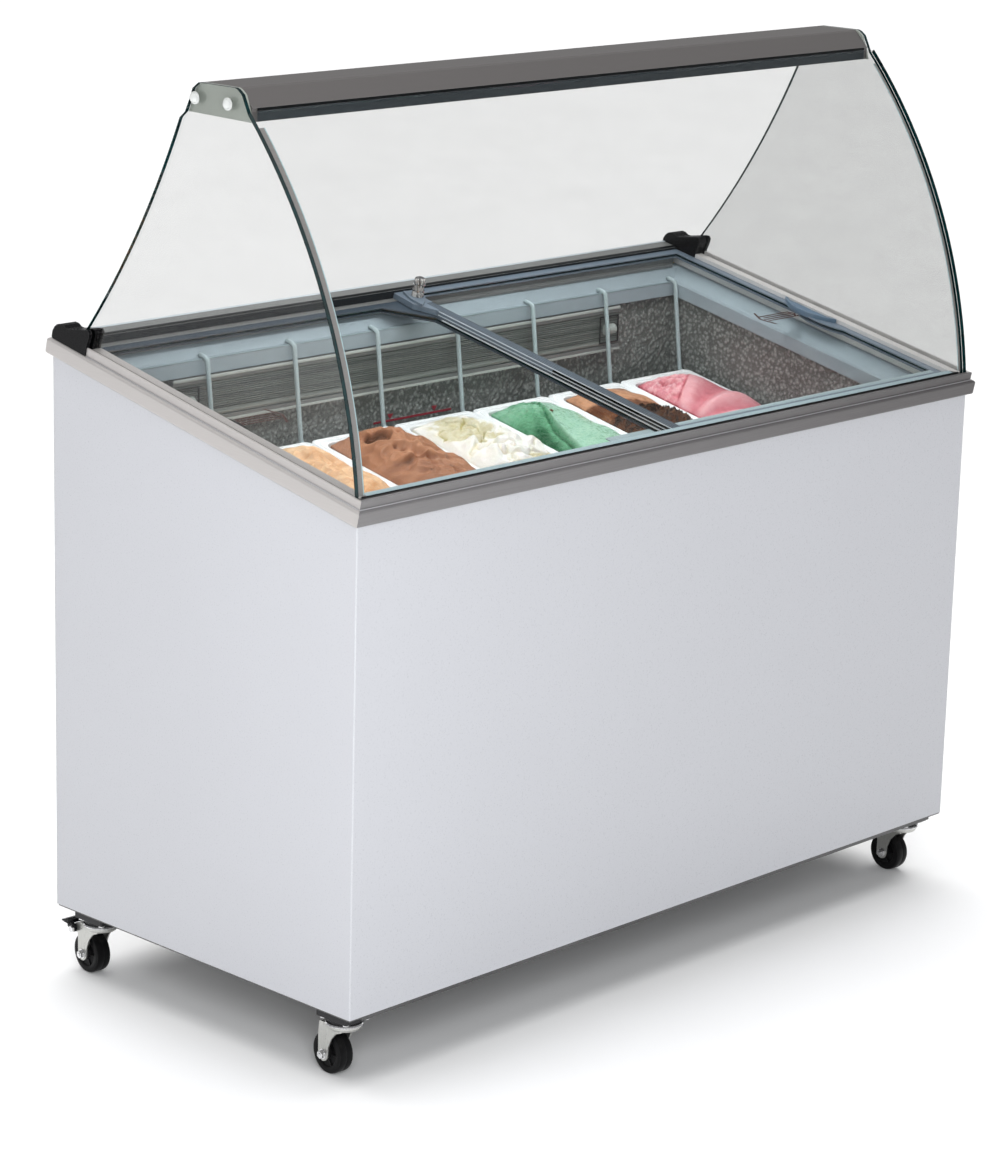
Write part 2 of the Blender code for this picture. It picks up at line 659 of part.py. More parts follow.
def make_coil(looks):
    """The evaporator tube, wound four times round the outside of the tank."""
    inset, turns, pitch, low = LINER_INSET - 6.5, 4, 46.0, 520.0
    a, b = WIDTH / 2 - inset, DEPTH / 2 - inset
    corners = [(a, 0.0)]
    for _ in range(turns):
        corners += [(a, b), (-a, b), (-a, -b), (a, -b)]
    corners.append((a, -20.0))
    lengths = [math.dist(p, q) for p, q in zip(corners, corners[1:])]
    run, path = 0.0, []
    for (x, y), step in zip(corners, lengths + [0.0]):
        path.append((x, y, low + pitch * turns * run / sum(lengths)))
        run += step
    make_object("evaporator_coil", rod(rounded_path(path, 6.0, 2), 4.0, 6), looks["copper"], smooth=70)


def make_compressor(looks):
    profile = [(0, 0), (62, 0), (66, 6), (66, 70), (70, 74), (70, 82), (66, 86)]
    profile += [(62, 128), (46, 150), (18, 158), (0, 158)]
    x, y = LEFT + 165, FRONT + 165
    can = make_object("compressor", turned(profile, 20), looks["black_steel"], None, (x, y, 122), smooth=30)
    feet = [box((-88, s * 52 - 14, -6), (88, s * 52 + 14, 2)) for s in (-1, 1)]
    change(can, joined(feet), "UNION")
    pads = [prism(arc(a * 76, b * 52, 9, 0, 360, 10)[:-1], -17.6, -5) for a in (-1, 1) for b in (-1, 1)]
    change(can, joined(pads), "UNION")


def make_condenser(looks):
    """The finned condenser block behind the rear cover."""
    left, right, far, low, high = LEFT + 60, LEFT + 280, BACK - 28, 128.0, 352.0
    near, root, fins = far - 46, far - 38, 20
    outline = [(right + 1.2, far), (left - 1.2, far)]
    for i in range(fins + 1):
        x = left + (right - left) * i / fins
        outline += [(x - 1.2, root), (x - 1.2, near), (x + 1.2, near), (x + 1.2, root)]
    outline.remove((left - 1.2, root))
    outline.remove((right + 1.2, root))
    make_object("condenser", prism(outline, low, high), looks["fin_black"])
    make_fan(looks, empty("fan_centre", ((left + right) / 2, near - 26.0, (low + high) / 2)))


def make_fan(looks, hub):
    """The fan's shroud with the motor on its cross arms, and the five-bladed fan."""
    shroud = prism(rounded_rectangle(108, 110, 8), 10, 13, "y")
    shroud = make_object("fan_shroud", shroud, looks["dark_steel"], hub)
    change(shroud, turned([(0, -10), (96, -10), (96, 30), (0, 30)], 24, "y"))
    change(shroud, turned([(95, -8), (98, -8), (98, 13), (95, 13)], 24, "y"), "UNION")
    change(shroud, box((-104, -24, -5), (104, -21, 5)), "UNION")
    change(shroud, joined([box((a * 101 - 3, -23, -4.5), (a * 101 + 3, 12, 4.5)) for a in (-1, 1)]), "UNION")
    change(shroud, turned([(0, -52), (26, -52), (30, -48), (30, -22), (0, -22)], 20, "y"), "UNION")

    fan = turned([(0, -20.5), (3, -20.5), (3, -14), (16, -14), (22, -10), (22, 6), (0, 6)], 20, "y")
    fan = make_object("fan_blade", fan, looks["fan_plastic"], hub, smooth=35)
    blades = []
    for i in range(5):
        blade = prism([(-15, 18), (15, 18), (28, 82), (12, 89), (-22, 85)], -0.8, 0.8, "y")
        blade.transform(Matrix.Rotation(math.radians(22), 4, "Z"))
        blade.transform(Matrix.Translation((0, -3, 0)))
        blade.transform(Matrix.Rotation(math.tau * i / 5, 4, "Y"))
        blades.append(blade)
    change(fan, joined(blades), "UNION")


def make_rear_controls(looks):
    """The vented cover of the machine compartment, with the thermostat knob and the power switch."""
    face = BACK + GAP
    centre_x, centre_z, half_x, half_z = LEFT + 170.0, 250.0, 142.0, 132.0
    outline = [(centre_x + a, centre_z + b) for a, b in rounded_rectangle(half_x, half_z, 8)]
    grille = make_object("rear_grille", prism(outline, face, face + 1.6, "y"), looks["white_steel"])
    slots = []
    for row in range(9):
        for column in (-1, 1):
            x, z = centre_x + column * 57, 142.0 + row * 18.0
            slot = [(x + a, z + b) for a, b in rounded_rectangle(46, 4, 3.9, 1)]
            slots.append(prism(slot, face - 5, face + 8, "y"))
    knob_at = centre_x - 60, face + 1.6, centre_z + 98.0
    slots.append(prism(arc(knob_at[0], knob_at[2], 4.6, 0, 360, 16)[:-1], face - 5, face + 8, "y"))
    switch_x, switch_z = centre_x + 62, knob_at[2]
    slots.append(box((switch_x - 15, face - 5, switch_z - 10.5), (switch_x + 15, face + 8, switch_z + 10.5)))
    change(grille, joined(slots))

    profile = [(0, KNOB_HEIGHT), (14, KNOB_HEIGHT), (15, KNOB_HEIGHT - 1)]
    profile += [(16, 0.6), (4, 0.6), (4, -9), (0, -9)]
    knob = turned(profile, 24, "y")
    knob = make_object("thermostat_knob", knob, looks["black_plastic"], None, knob_at, smooth=35)
    change(knob, box((-1.0, KNOB_HEIGHT - 1.2, 3), (1.0, 20, 14)))

    rocker = prism([(-13, -5), (13, -5), (13.5, 2.2), (0, 2.2), (-13.5, 6.0)], -9.5, 9.5)
    make_object("power_switch", rocker, looks["black_plastic"], None, (switch_x, face + 1.6, switch_z))


# ---------------------------------------------------------------- casters


def make_caster(looks, label, x, y, braked):
    """A fixed mount, a swivelling fork with its axle, a wheel and, at the back, a brake pedal."""
    place = empty(f"caster_place_{label}", (x, y, 0))
    block = prism(rounded_rectangle(26, 30, 2, 1), 88.0, 96.7)
    mount = make_object(f"caster_mount_{label}", block, looks["dark_steel"], place, smooth=30)
    change(mount, turned([(0, 80.6), (20, 80.6), (24, 82.5), (24, 86), (22, 88.5), (0, 88.5)], 24), "UNION")

    swivel = empty(f"swivel_{label}", (0, 0, 0), (0, 0, SWIVEL), place)
    arch = [(-18.4, 10), (-16, 10), (-16, 71), (16, 71), (16, 10), (18.4, 10), (18.4, 77), (-18.4, 77)]
    fork = make_object(f"caster_fork_{label}", prism(arch, -26, 60, "y"), looks["zinc"], swivel, smooth=30)
    side = [(-14, 71), (-4, 67), (6, 56), (12, 42), *arc(TRAIL, WHEEL_RADIUS, 10, 180, 360, 8), (33, 60)]
    if braked:
        side += arc(PEDAL_Y, PEDAL_Z, 7, -60, 90, 4)
    side += [(31, 76), (24, 79), (-14, 79)]
    change(fork, prism(side, -20, 20, "x"), "INTERSECT")
    change(fork, turned([(0, 72), (22, 72), (24, 75), (24, 78), (22, 80.1), (0, 80.1)], 24), "UNION")
    axle = [(0, -21), (5.5, -21), (5.5, -17.5), (4, -17.5), (4, 17.5), (5.5, 17.5), (5.5, 21), (0, 21)]
    axle = turned(axle, 12, "x")
    axle.transform(Matrix.Translation((0, TRAIL, WHEEL_RADIUS)))
    change(fork, axle, "UNION")

    half, r = WHEEL_WIDTH / 2, WHEEL_RADIUS
    tyre = [(4.35, half + 2), (9, half + 2), (10, half - 1), (20, half - 1)]
    tyre += [(21.5, half), (r - 3, half), (r, half - 3)]
    tyre += [(a, -b) for a, b in tyre[::-1]]
    wheel = turned(tyre, 20, "x")
    make_object(f"wheel_{label}", wheel, looks["black_rubber"], swivel, (0, TRAIL, r), smooth=35)

    if braked:
        bore = turned([(0, -30), (3.6, -30), (3.6, 30), (0, 30)], 12, "x")
        bore.transform(Matrix.Translation((0, PEDAL_Y, PEDAL_Z)))
        change(fork, bore)
        pin = turned([(0, -24), (3, -24), (3, 24), (0, 24)], 12, "x")
        pedal = f"brake_pedal_{label}"
        pedal = make_object(pedal, pin, looks["black_plastic"], swivel, (0, PEDAL_Y, PEDAL_Z), smooth=35)
        arm = [(-4, -4), (3, -4.5), (12, 1), (12, 9), (8, 9), (-4, 4.5)]
        sides = [prism(arm, min(a, b), max(a, b), "x") for a, b in ((19.2, 24.5), (-19.2, -24.5))]
        change(pedal, joined(sides), "UNION")
        change(pedal, prism([(8, 4.5), (24, 6), (24, 8), (17, 10), (8, 10.5)], -26, 26, "x"), "UNION")


def make_looks():
    looks = {
        "white_steel": material("white_steel", (0.80, 0.81, 0.83), 0.28),
        "dark_steel": material("dark_steel", (0.09, 0.095, 0.10), 0.5, 0.6),
        "foam": material("foam", (0.85, 0.78, 0.55), 0.95),
        "stucco": material("stucco", (0.42, 0.43, 0.42), 0.35, 0.9),
        "collar_plastic": material("collar_plastic", (0.53, 0.60, 0.62), 0.4),
        "aluminium": material("aluminium", (0.58, 0.57, 0.55), 0.35, 1.0),
        "black_plastic": material("black_plastic", (0.012, 0.012, 0.014), 0.3),
        "glass": material("glass", (0.93, 0.97, 0.96), 0.02, 0.0, 0.95),
        "plate_grey": material("plate_grey", (0.45, 0.49, 0.45), 0.4),
        "canopy_grey": material("canopy_grey", (0.16, 0.155, 0.15), 0.4, 0.5),
        "lid_plastic": material("lid_plastic", (0.30, 0.36, 0.42), 0.4),
        "chrome": material("chrome", (0.82, 0.82, 0.82), 0.08, 1.0),
        "clear_plastic": material("clear_plastic", (0.85, 0.87, 0.87), 0.15, 0.0, 0.8),
        "coated_wire": material("coated_wire", (0.62, 0.67, 0.68), 0.4),
        "white_plastic": material("white_plastic", (0.88, 0.89, 0.89), 0.35),
        "copper": material("copper", (0.72, 0.40, 0.25), 0.3, 1.0),
        "black_steel": material("black_steel", (0.02, 0.02, 0.02), 0.35),
        "fin_black": material("fin_black", (0.05, 0.05, 0.055), 0.5, 0.3),
        "fan_plastic": material("fan_plastic", (0.10, 0.10, 0.11), 0.45),
        "zinc": material("zinc", (0.66, 0.66, 0.64), 0.3, 1.0),
        "black_rubber": material("black_rubber", (0.015, 0.015, 0.016), 0.5),
    }
    flavours = [
        (0.80, 0.52, 0.30),
        (0.42, 0.22, 0.12),
        (0.85, 0.82, 0.74),
        (0.36, 0.62, 0.42),
        (0.30, 0.17, 0.09),
        (0.78, 0.36, 0.38),
    ]
    for i, colour in enumerate(flavours, start=1):
        looks[f"ice_{i}"] = material(f"ice_{i}", colour, 0.55)
    return looks


def main():
    clear_scene()
    looks = make_looks()
    top = empty("slanting_top", (0, FRONT, TOP_FRONT), (TILT, 0, 0))
    make_body(looks)
    make_frame(looks, top)
    make_canopy(looks)
    make_lid(looks, top, "left")
    make_lid(looks, top, "right")
    make_lamp(looks)
    make_rack(looks)
    make_pans(looks)
    make_coil(looks)
    make_compressor(looks)
    make_condenser(looks)
    make_rear_controls(looks)
    make_caster(looks, "front_left", -CASTER_X, CASTER_FRONT_Y, False)
    make_caster(looks, "front_right", CASTER_X, CASTER_FRONT_Y, False)
    make_caster(looks, "rear_left", -CASTER_X, CASTER_BACK_Y, True)
    make_caster(looks, "rear_right", CASTER_X, CASTER_BACK_Y, True)


main()
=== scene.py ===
"""Looks of the ice cream dipping cabinet: finishes, ice cream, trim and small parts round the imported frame.

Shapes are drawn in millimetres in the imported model's own frame and scaled when a piece is made.
The customer's side faces -Y, the operator's side faces +Y and the origin is on the floor.
"""

import json
import math

import bmesh
import bpy
import numpy as np
from mathutils import Matrix, Vector, noise


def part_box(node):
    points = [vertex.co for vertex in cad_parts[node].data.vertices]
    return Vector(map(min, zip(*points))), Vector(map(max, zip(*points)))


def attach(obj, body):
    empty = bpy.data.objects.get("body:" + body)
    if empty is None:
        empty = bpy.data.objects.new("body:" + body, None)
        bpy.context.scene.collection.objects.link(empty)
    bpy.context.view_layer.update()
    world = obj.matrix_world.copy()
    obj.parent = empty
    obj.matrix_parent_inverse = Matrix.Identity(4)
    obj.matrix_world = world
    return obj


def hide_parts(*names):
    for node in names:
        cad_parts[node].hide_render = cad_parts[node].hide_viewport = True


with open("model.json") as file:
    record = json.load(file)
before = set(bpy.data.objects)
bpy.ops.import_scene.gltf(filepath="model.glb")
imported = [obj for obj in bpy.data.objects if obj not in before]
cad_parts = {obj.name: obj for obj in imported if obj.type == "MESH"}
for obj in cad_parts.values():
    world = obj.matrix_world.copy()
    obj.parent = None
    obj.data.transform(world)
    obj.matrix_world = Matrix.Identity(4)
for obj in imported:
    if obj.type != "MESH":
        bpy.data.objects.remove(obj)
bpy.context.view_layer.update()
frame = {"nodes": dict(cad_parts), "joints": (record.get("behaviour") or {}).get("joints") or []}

MM = 0.001
JOINTS = {joint["name"]: joint for joint in frame["joints"]}

# ---- places


def node_box(name):
    low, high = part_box(name)
    return low / MM, high / MM


PANEL_LOW, PANEL_HIGH = node_box("rear_panel")
LEFT, RIGHT, BACK = PANEL_LOW.x, PANEL_HIGH.x, PANEL_HIGH.y
FRONT = node_box("outer_casing")[0].y
NORMAL = Vector(JOINTS["lock_turn"]["axis"])  # square to the slanting top
TILT = math.atan2(-NORMAL.y, NORMAL.z)
TOP_FRONT = 786.0  # height of the slanting top at the customer's side
SLANT = (BACK - FRONT) / math.cos(TILT)
TOP_PLANE = Matrix.Translation((0, FRONT, TOP_FRONT)) @ Matrix.Rotation(TILT, 4, "X")
PAN_COUNT = 6
PAN_BACK, PAN_DROP = 487.0, 138.4  # rear edge of the pans along the slant, rim below the slanting top
PAN_W, PAN_L = 83.3, 180.0  # half width and half length over the rim
WALL = BACK - 55.5  # inner face of the tank's back wall


def pan_place(i):
    low, high = node_box(f"pan_{i}")
    spot = TOP_PLANE @ Vector(((low.x + high.x) / 2, PAN_BACK - PAN_L, -PAN_DROP))
    return Matrix.Translation(spot) @ Matrix.Rotation(TILT, 4, "X")


def on_slant(v, n):
    spot = TOP_PLANE @ Vector((0, v, n))
    return spot.y, spot.z


# ---- mesh tools


def arc(a, b, radius, start, end, steps):
    turns = [math.radians(start + (end - start) * i / steps) for i in range(steps + 1)]
    return [(a + radius * math.cos(t), b + radius * math.sin(t)) for t in turns]


def rounded_rectangle(half_a, half_b, radius, steps=8):
    points = []
    for a, b, start in ((1, 1, 0), (-1, 1, 90), (-1, -1, 180), (1, -1, 270)):
        points += arc(a * (half_a - radius), b * (half_b - radius), radius, start, start + 90, steps)
    return points


def loft(rings, closed_loop=False):
    mesh = bmesh.new()
    rows = [[mesh.verts.new(p) for p in ring] for ring in rings]
    pairs = list(zip(rows, rows[1:])) + ([(rows[-1], rows[0])] if closed_loop else [])
    for below, above in pairs:
        for i in range(len(below)):
            j = (i + 1) % len(below)
            mesh.faces.new((below[i], below[j], above[j], above[i]))
    if not closed_loop:
        mesh.faces.new(rows[0])
        mesh.faces.new(rows[-1])
    return mesh


def prism(outline, low, high, axis="z"):
    """An outline pushed along an axis; its points are the two other coordinates in order."""
    spot = "xyz".index(axis)
    return loft([[(*p[:spot], s, *p[spot:]) for p in outline] for s in (low, high)])


def block(low, high, soft=0.0):
    outline = [(low[0], low[1]), (high[0], low[1]), (high[0], high[1]), (low[0], high[1])]
    mesh = prism(outline, low[2], high[2])
    return soften(mesh, soft) if soft else mesh


def soften(mesh, width):
    """Rounds every edge sharper than 30 degrees."""
    bmesh.ops.recalc_face_normals(mesh, faces=mesh.faces)
    sharp = [e for e in mesh.edges if e.is_manifold and e.calc_face_angle() > math.radians(30)]
    bmesh.ops.bevel(mesh, geom=sharp, offset=width, segments=2, profile=0.6, affect="EDGES")
    return mesh


def turned(profile, segments, axis="z"):
    """A turned solid from (radius, height) points, closed at the axis or round a bore."""
    mesh = bmesh.new()
    rows = []
    for radius, height in profile:
        if radius == 0:
            rows.append([mesh.verts.new((0, 0, height))] * segments)
        else:
            rows.append([mesh.verts.new((a, b, height)) for a, b in arc(0, 0, radius, 0, 360, segments)[:-1]])
    if profile[0][0] > 0 and profile[-1][0] > 0:
        rows.append(rows[0])
    for below, above in zip(rows, rows[1:]):
        for i in range(segments):
            j = (i + 1) % segments
            corners = list(dict.fromkeys([below[i], below[j], above[j], above[i]]))
            if len(corners) > 2:
                mesh.faces.new(corners)
    if axis != "z":
        angle, about = (math.pi / 2, "Y") if axis == "x" else (-math.pi / 2, "X")
        mesh.transform(Matrix.Rotation(angle, 4, about))
    return mesh


def rod(path, radius, sides=10):
    """A round bar along a path, with rounded ends."""
    points = [Vector(p) for p in path]
    steps = [(b - a).normalized() for a, b in zip(points, points[1:])]
    points = [points[0] - steps[0] * radius * 0.5] + points + [points[-1] + steps[-1] * radius * 0.5]
    steps = [(b - a).normalized() for a, b in zip(points, points[1:])]
    side = steps[0].orthogonal().normalized()
    rings = []
    for i, point in enumerate(points):
        before, after = steps[max(i - 1, 0)], steps[min(i, len(steps) - 1)]
        ahead = (before + after).normalized()
        side = (side - before * side.dot(before)).normalized()
        up = before.cross(side)
        size = radius * (0.62 if i in (0, len(points) - 1) else 1.0)
        ring = []
        for a, b in arc(0, 0, size, 0, 360, sides)[:-1]:
            spoke = side * a + up * b
            ring.append(point + spoke - before * (spoke.dot(ahead) / before.dot(ahead)))
        rings.append(ring)
        side = (side - after * side.dot(after)).normalized()
    return loft(rings)


def rounded_path(corners, radius, steps=5):
    path = [Vector(corners[0])]
    for before, corner, after in zip(corners, corners[1:], corners[2:]):
        before, corner, after = Vector(before), Vector(corner), Vector(after)
        start = corner + (before - corner).normalized() * radius
        end = corner + (after - corner).normalized() * radius
        for i in range(steps + 1):
            t = i / steps
            path.append(start * (1 - t) ** 2 + corner * (2 * t * (1 - t)) + end * t**2)
    return path + [Vector(corners[-1])]


def moved(mesh, x, y, z):
    mesh.transform(Matrix.Translation((x, y, z)))
    return mesh


def both_ways(profile, segments):
    """Two turned solids on the X axis that mirror each other."""
    pair = [turned(profile, segments, "x") for _ in range(2)]
    pair[0].transform(Matrix.Rotation(math.pi, 4, "Z"))
    return pair


def joined(meshes):
    whole = bmesh.new()
    for part in meshes:
        data = bpy.data.meshes.new("part")
        part.to_mesh(data)
        part.free()
        whole.from_mesh(data)
        bpy.data.meshes.remove(data)
    return whole


def piece(name, mesh, look, body="cabinet", place=None, smooth=42):
    """Makes an object of one or more meshes drawn in millimetres and lets it ride on a body of the frame."""
    if isinstance(mesh, list):
        mesh = joined(mesh)
    if place is not None:
        mesh.transform(place)
    mesh.transform(Matrix.Scale(MM, 4))
    bmesh.ops.recalc_face_normals(mesh, faces=mesh.faces)
    data = bpy.data.meshes.new(name)
    mesh.to_mesh(data)
    mesh.free()
    data.materials.append(LOOKS[look])
    data.shade_smooth()
    data.set_sharp_from_angle(angle=math.radians(smooth))
    made = bpy.data.objects.new(name, data)
    bpy.context.scene.collection.objects.link(made)
    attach(made, body)
    return made


# ---- material tools


LOOKS = {}
ALONG_X, ALONG_Y = (0.01, 1.0, 1.0), (1.0, 0.01, 1.0)  # squeezes a pattern so that it runs along a side


def scaled(colour, factor):
    return (*(min(1.0, c * factor) for c in colour[:3]), 1.0)


def tint(red, green, blue):
    """A colour given as it appears, 0 to 255, turned into the linear values that shaders use."""
    values = []
    for v in (red, green, blue):
        v = v / 255
        values.append(v / 12.92 if v <= 0.04045 else ((v + 0.055) / 1.055) ** 2.4)
    return (*values, 1.0)


class Shader:
    """A new look, kept in LOOKS, with short calls that add shader nodes and link them."""

    def __init__(self, name):
        LOOKS[name] = bpy.data.materials.new(name)
        LOOKS[name].use_nodes = True
        self.tree = LOOKS[name].node_tree
        self.tree.nodes.clear()
        self.output = self.add("OutputMaterial")
        self.place = self.add("TexCoord").outputs["Object"]

    def put(self, socket, value):
        if isinstance(value, bpy.types.NodeSocket):
            self.tree.links.new(value, socket)
        elif value is not None:
            socket.default_value = value

    def add(self, kind, **settings):
        node = self.tree.nodes.new("ShaderNode" + kind)
        for key, value in settings.items():
            if key[0].islower():
                setattr(node, key, value)
            else:
                self.put(node.inputs[key.replace("_", " ")], value)
        return node

    def math(self, operation, a, b=0.0):
        node = self.add("Math", operation=operation)
        self.put(node.inputs[0], a)
        self.put(node.inputs[1], b)
        return node.outputs[0]

    def vector(self, operation, a, b=(0, 0, 0), out=0):
        node = self.add("VectorMath", operation=operation)
        self.put(node.inputs[0], a)
        self.put(node.inputs[1], b)
        return node.outputs[out]

    def mix(self, share, a, b, blend="MIX"):
        node = self.add("Mix", data_type="RGBA", blend_type=blend)
        self.put(node.inputs[0], share)
        self.put(node.inputs[6], a)
        self.put(node.inputs[7], b)
        return node.outputs[2]

    def blend(self, share, a, b):
        node = self.add("MixShader")
        for socket, value in zip(node.inputs, (share, a.outputs[0], b.outputs[0])):
            self.put(socket, value)
        return node

    def remap(self, value, low, high, to_low=0.0, to_high=1.0):
        node = self.add("MapRange", From_Min=low, From_Max=high, To_Min=to_low, To_Max=to_high)
        self.put(node.inputs["Value"], value)
        return node.outputs[0]

    def noise(self, scale, detail=3.0, roughness=0.55, stretch=None):
        place = self.vector("MULTIPLY", self.place, stretch) if stretch else self.place
        node = self.add("TexNoise", Vector=place, Scale=scale, Detail=detail, Roughness=roughness)
        return node.outputs["Fac"]

    def bump(self, height, strength, distance, normal=None):
        return self.add("Bump", Strength=strength, Distance=distance, Height=height, Normal=normal).outputs[0]

    def part(self, axis, source=None):
        return self.add("SeparateXYZ", Vector=source or self.place).outputs[axis]

    def principled(self, **inputs):
        node = self.add("BsdfPrincipled", **inputs)
        self.put(self.output.inputs["Surface"], node.outputs[0])
        return node


def rounded_edges(s, radius):
    """The shading normal with edges rounded off, and a mask of the edges for wear and for a painted highlight
    along them.
    """
    soft = s.add("Bevel", samples=4, Radius=radius * MM).outputs[0]
    true = s.add("NewGeometry").outputs["Normal"]
    along = s.vector("DOT_PRODUCT", soft, true, out="Value")
    return soft, s.remap(along, 0.995, 0.86)


def surface(name, colour, roughness, metallic=0.0, grain=700.0, depth=0.02, blotch=3.0, spread=0.05,
            edge=0.5, wear_and_highlight=0.12, stretch=None, coat=0.0, dust=0.0, shine=0.5):
    """A painted, moulded or metal finish: cloudy colour, fine grain in gloss and height, soft edges lightened
    partly as wear and partly as a painted highlight.
    """
    s = Shader(name)
    soft, wear_and_highlight_edges = rounded_edges(s, edge)
    cloud = s.noise(blotch, 3.0, 0.6)
    fine = s.noise(grain, 2.0, 0.6, stretch)
    light = scaled(colour, 1 + spread)
    base = s.mix(s.remap(cloud, 0.3, 0.7), scaled(colour, 1 - spread), light)
    base = s.mix(s.math("MULTIPLY", s.remap(fine, 0.35, 0.65), spread), base, light, "SCREEN")
    # Edges lightened toward white: partly wear, partly a painted highlight along the rounded edges.
    base = s.mix(s.math("MULTIPLY", wear_and_highlight_edges, wear_and_highlight), base, (1.0, 1.0, 1.0, 1.0))
    if dust:
        up = s.part(2, s.add("NewGeometry").outputs["Normal"])
        share = s.math("MULTIPLY", s.remap(s.noise(90.0, 4.0, 0.7), 0.45, 0.8), dust)
        base = s.mix(s.math("MULTIPLY", s.remap(up, 0.2, 1.0), share), base, tint(170, 165, 155))
    gloss = s.remap(fine, 0.2, 0.8, roughness - 0.06, roughness + 0.06)
    gloss = s.math("ADD", gloss, s.math("MULTIPLY", wear_and_highlight_edges, -0.05))
    normal = s.bump(fine, 0.5, depth * MM, soft)
    s.principled(Base_Color=base, Roughness=gloss, Metallic=metallic, Normal=normal, Specular_IOR_Level=shine,
                 Coat_Weight=coat, Coat_Roughness=0.12)


def brushed(name, colour, roughness, stretch, streaks=0.10, metallic=0.9, edge=0.6, wear_and_highlight=0.25):
    """Rolled or anodised metal with fine lines along its length."""
    s = Shader(name)
    soft, wear_and_highlight_edges = rounded_edges(s, edge)
    lines = s.noise(1600.0, 4.0, 0.7, stretch)
    cloud = s.noise(2.2, 3.0, 0.6)
    light = scaled(colour, 1 + streaks)
    base = s.mix(s.remap(lines, 0.3, 0.7), scaled(colour, 1 - streaks), light)
    base = s.mix(s.remap(cloud, 0.3, 0.7, 0.0, 0.35), base, light)
    # Edges lightened: partly wear, partly a painted highlight along the rounded edges.
    base = s.mix(s.math("MULTIPLY", wear_and_highlight_edges, wear_and_highlight), base, (0.95, 0.95, 0.94, 1.0))
    gloss = s.remap(lines, 0.2, 0.8, roughness - 0.07, roughness + 0.07)
    normal = s.bump(lines, 0.4, 0.01 * MM, soft)
    s.principled(Base_Color=base, Roughness=gloss, Metallic=metallic, Normal=normal)


def front_metal(name):
    """The customer side's extrusion: satin metal, a darker copy of the frame's finish, with painted shade
    that darkens it toward one end.
    """
    s = Shader(name)
    soft, wear_and_highlight_edges = rounded_edges(s, 0.8)
    lines = s.noise(1600.0, 4.0, 0.7, ALONG_X)
    along = s.remap(s.part(0), LEFT * MM, RIGHT * MM)
    # Painted shade: the colour darkens toward the right-hand end.
    base = s.mix(along, tint(118, 116, 117), tint(76, 73, 74))
    base = s.mix(s.remap(lines, 0.3, 0.7, 0.0, 0.16), base, tint(176, 174, 172))
    # Edges lightened: partly wear, partly a painted highlight on the rounded edges.
    base = s.mix(s.math("MULTIPLY", wear_and_highlight_edges, 0.5), base, tint(190, 188, 190))
    s.principled(Base_Color=base, Roughness=s.remap(lines, 0.2, 0.8, 0.40, 0.54), Metallic=0.35,
                 Normal=s.bump(lines, 0.4, 0.01 * MM, soft))


def glass(name, broad_axis, broad, tone, edge_tone, mirror_share=0.5):
    """A pane that light passes straight through, with mirror reflections and dark green edges.

    broad_axis is a direction; broad says whether the pane's large faces look along it or across it.
    """
    s = Shader(name)
    geometry = s.add("NewGeometry")
    facing = s.vector("DOT_PRODUCT", geometry.outputs["True Normal"], broad_axis, out="Value")
    along = s.math("ABSOLUTE", facing)
    rim = s.remap(along, 0.75, 0.65) if broad else s.remap(along, 0.65, 0.75)
    smear = s.noise(14.0, 4.0, 0.65, (1.0, 1.0, 2.5))
    wave = s.bump(s.noise(6.0, 1.0), 0.04, 1.0 * MM)
    tone = s.mix(s.remap(smear, 0.35, 0.75), tone, scaled(tone, 0.985))
    tone = s.mix(s.add("LightPath").outputs["Is Shadow Ray"], tone, (1, 1, 1, 1))
    clear = s.add("BsdfTransparent", Color=tone)
    smudged = s.remap(smear, 0.4, 0.8, 0.0, 0.03)
    mirror = s.add("BsdfGlossy", Color=(1, 1, 1, 1), Roughness=smudged, Normal=wave)
    fresnel = s.add("Fresnel", IOR=1.46, Normal=wave).outputs[0]
    pane = s.blend(s.math("MULTIPLY", fresnel, mirror_share), clear, mirror)
    deep = s.mix(s.remap(s.noise(60.0, 2.0, 0.5), 0.35, 0.65), edge_tone, scaled(edge_tone, 2.2))
    side = s.add("BsdfPrincipled", Base_Color=deep, Roughness=0.10, Specular_IOR_Level=0.3)
    s.put(s.output.inputs["Surface"], s.blend(rim, pane, side).outputs[0])


def stucco_metal(name):
    """Embossed aluminium sheet: small raised pebbles that catch the light, with painted highlights on their
    tops and painted glints.
    """
    s = Shader(name)
    warp = s.add("TexNoise", Vector=s.place, Scale=130.0, Detail=2.0)
    shaken = s.vector("ADD", s.place, s.vector("MULTIPLY", warp.outputs["Color"], (0.006, 0.006, 0.006)))
    cells = s.add("TexVoronoi", Vector=shaken, Scale=150.0, feature="SMOOTH_F1", Smoothness=0.6)
    pebbles = cells.outputs["Distance"]
    fine = s.noise(900.0, 3.0, 0.7)
    height = s.math("ADD", s.math("MULTIPLY", pebbles, -1.0), s.math("MULTIPLY", fine, 0.25))
    cloud = s.noise(5.0, 3.0, 0.6)
    base = s.mix(s.remap(cloud, 0.3, 0.7), tint(104, 107, 103), tint(126, 129, 125))
    # Painted highlight: the pebbles' tops lightened.
    base = s.mix(s.remap(pebbles, 0.10, 0.55), tint(182, 186, 182), base)
    # Painted glints scattered over the sheet.
    sparkle = s.remap(s.noise(330.0, 2.0, 0.8), 0.60, 0.72)
    base = s.mix(s.math("MULTIPLY", sparkle, 0.5), base, (0.85, 0.86, 0.85, 1.0))
    s.principled(Base_Color=base, Metallic=0.3, Roughness=s.remap(fine, 0.3, 0.7, 0.30, 0.46),
                 Normal=s.bump(height, 1.0, 2.6 * MM))


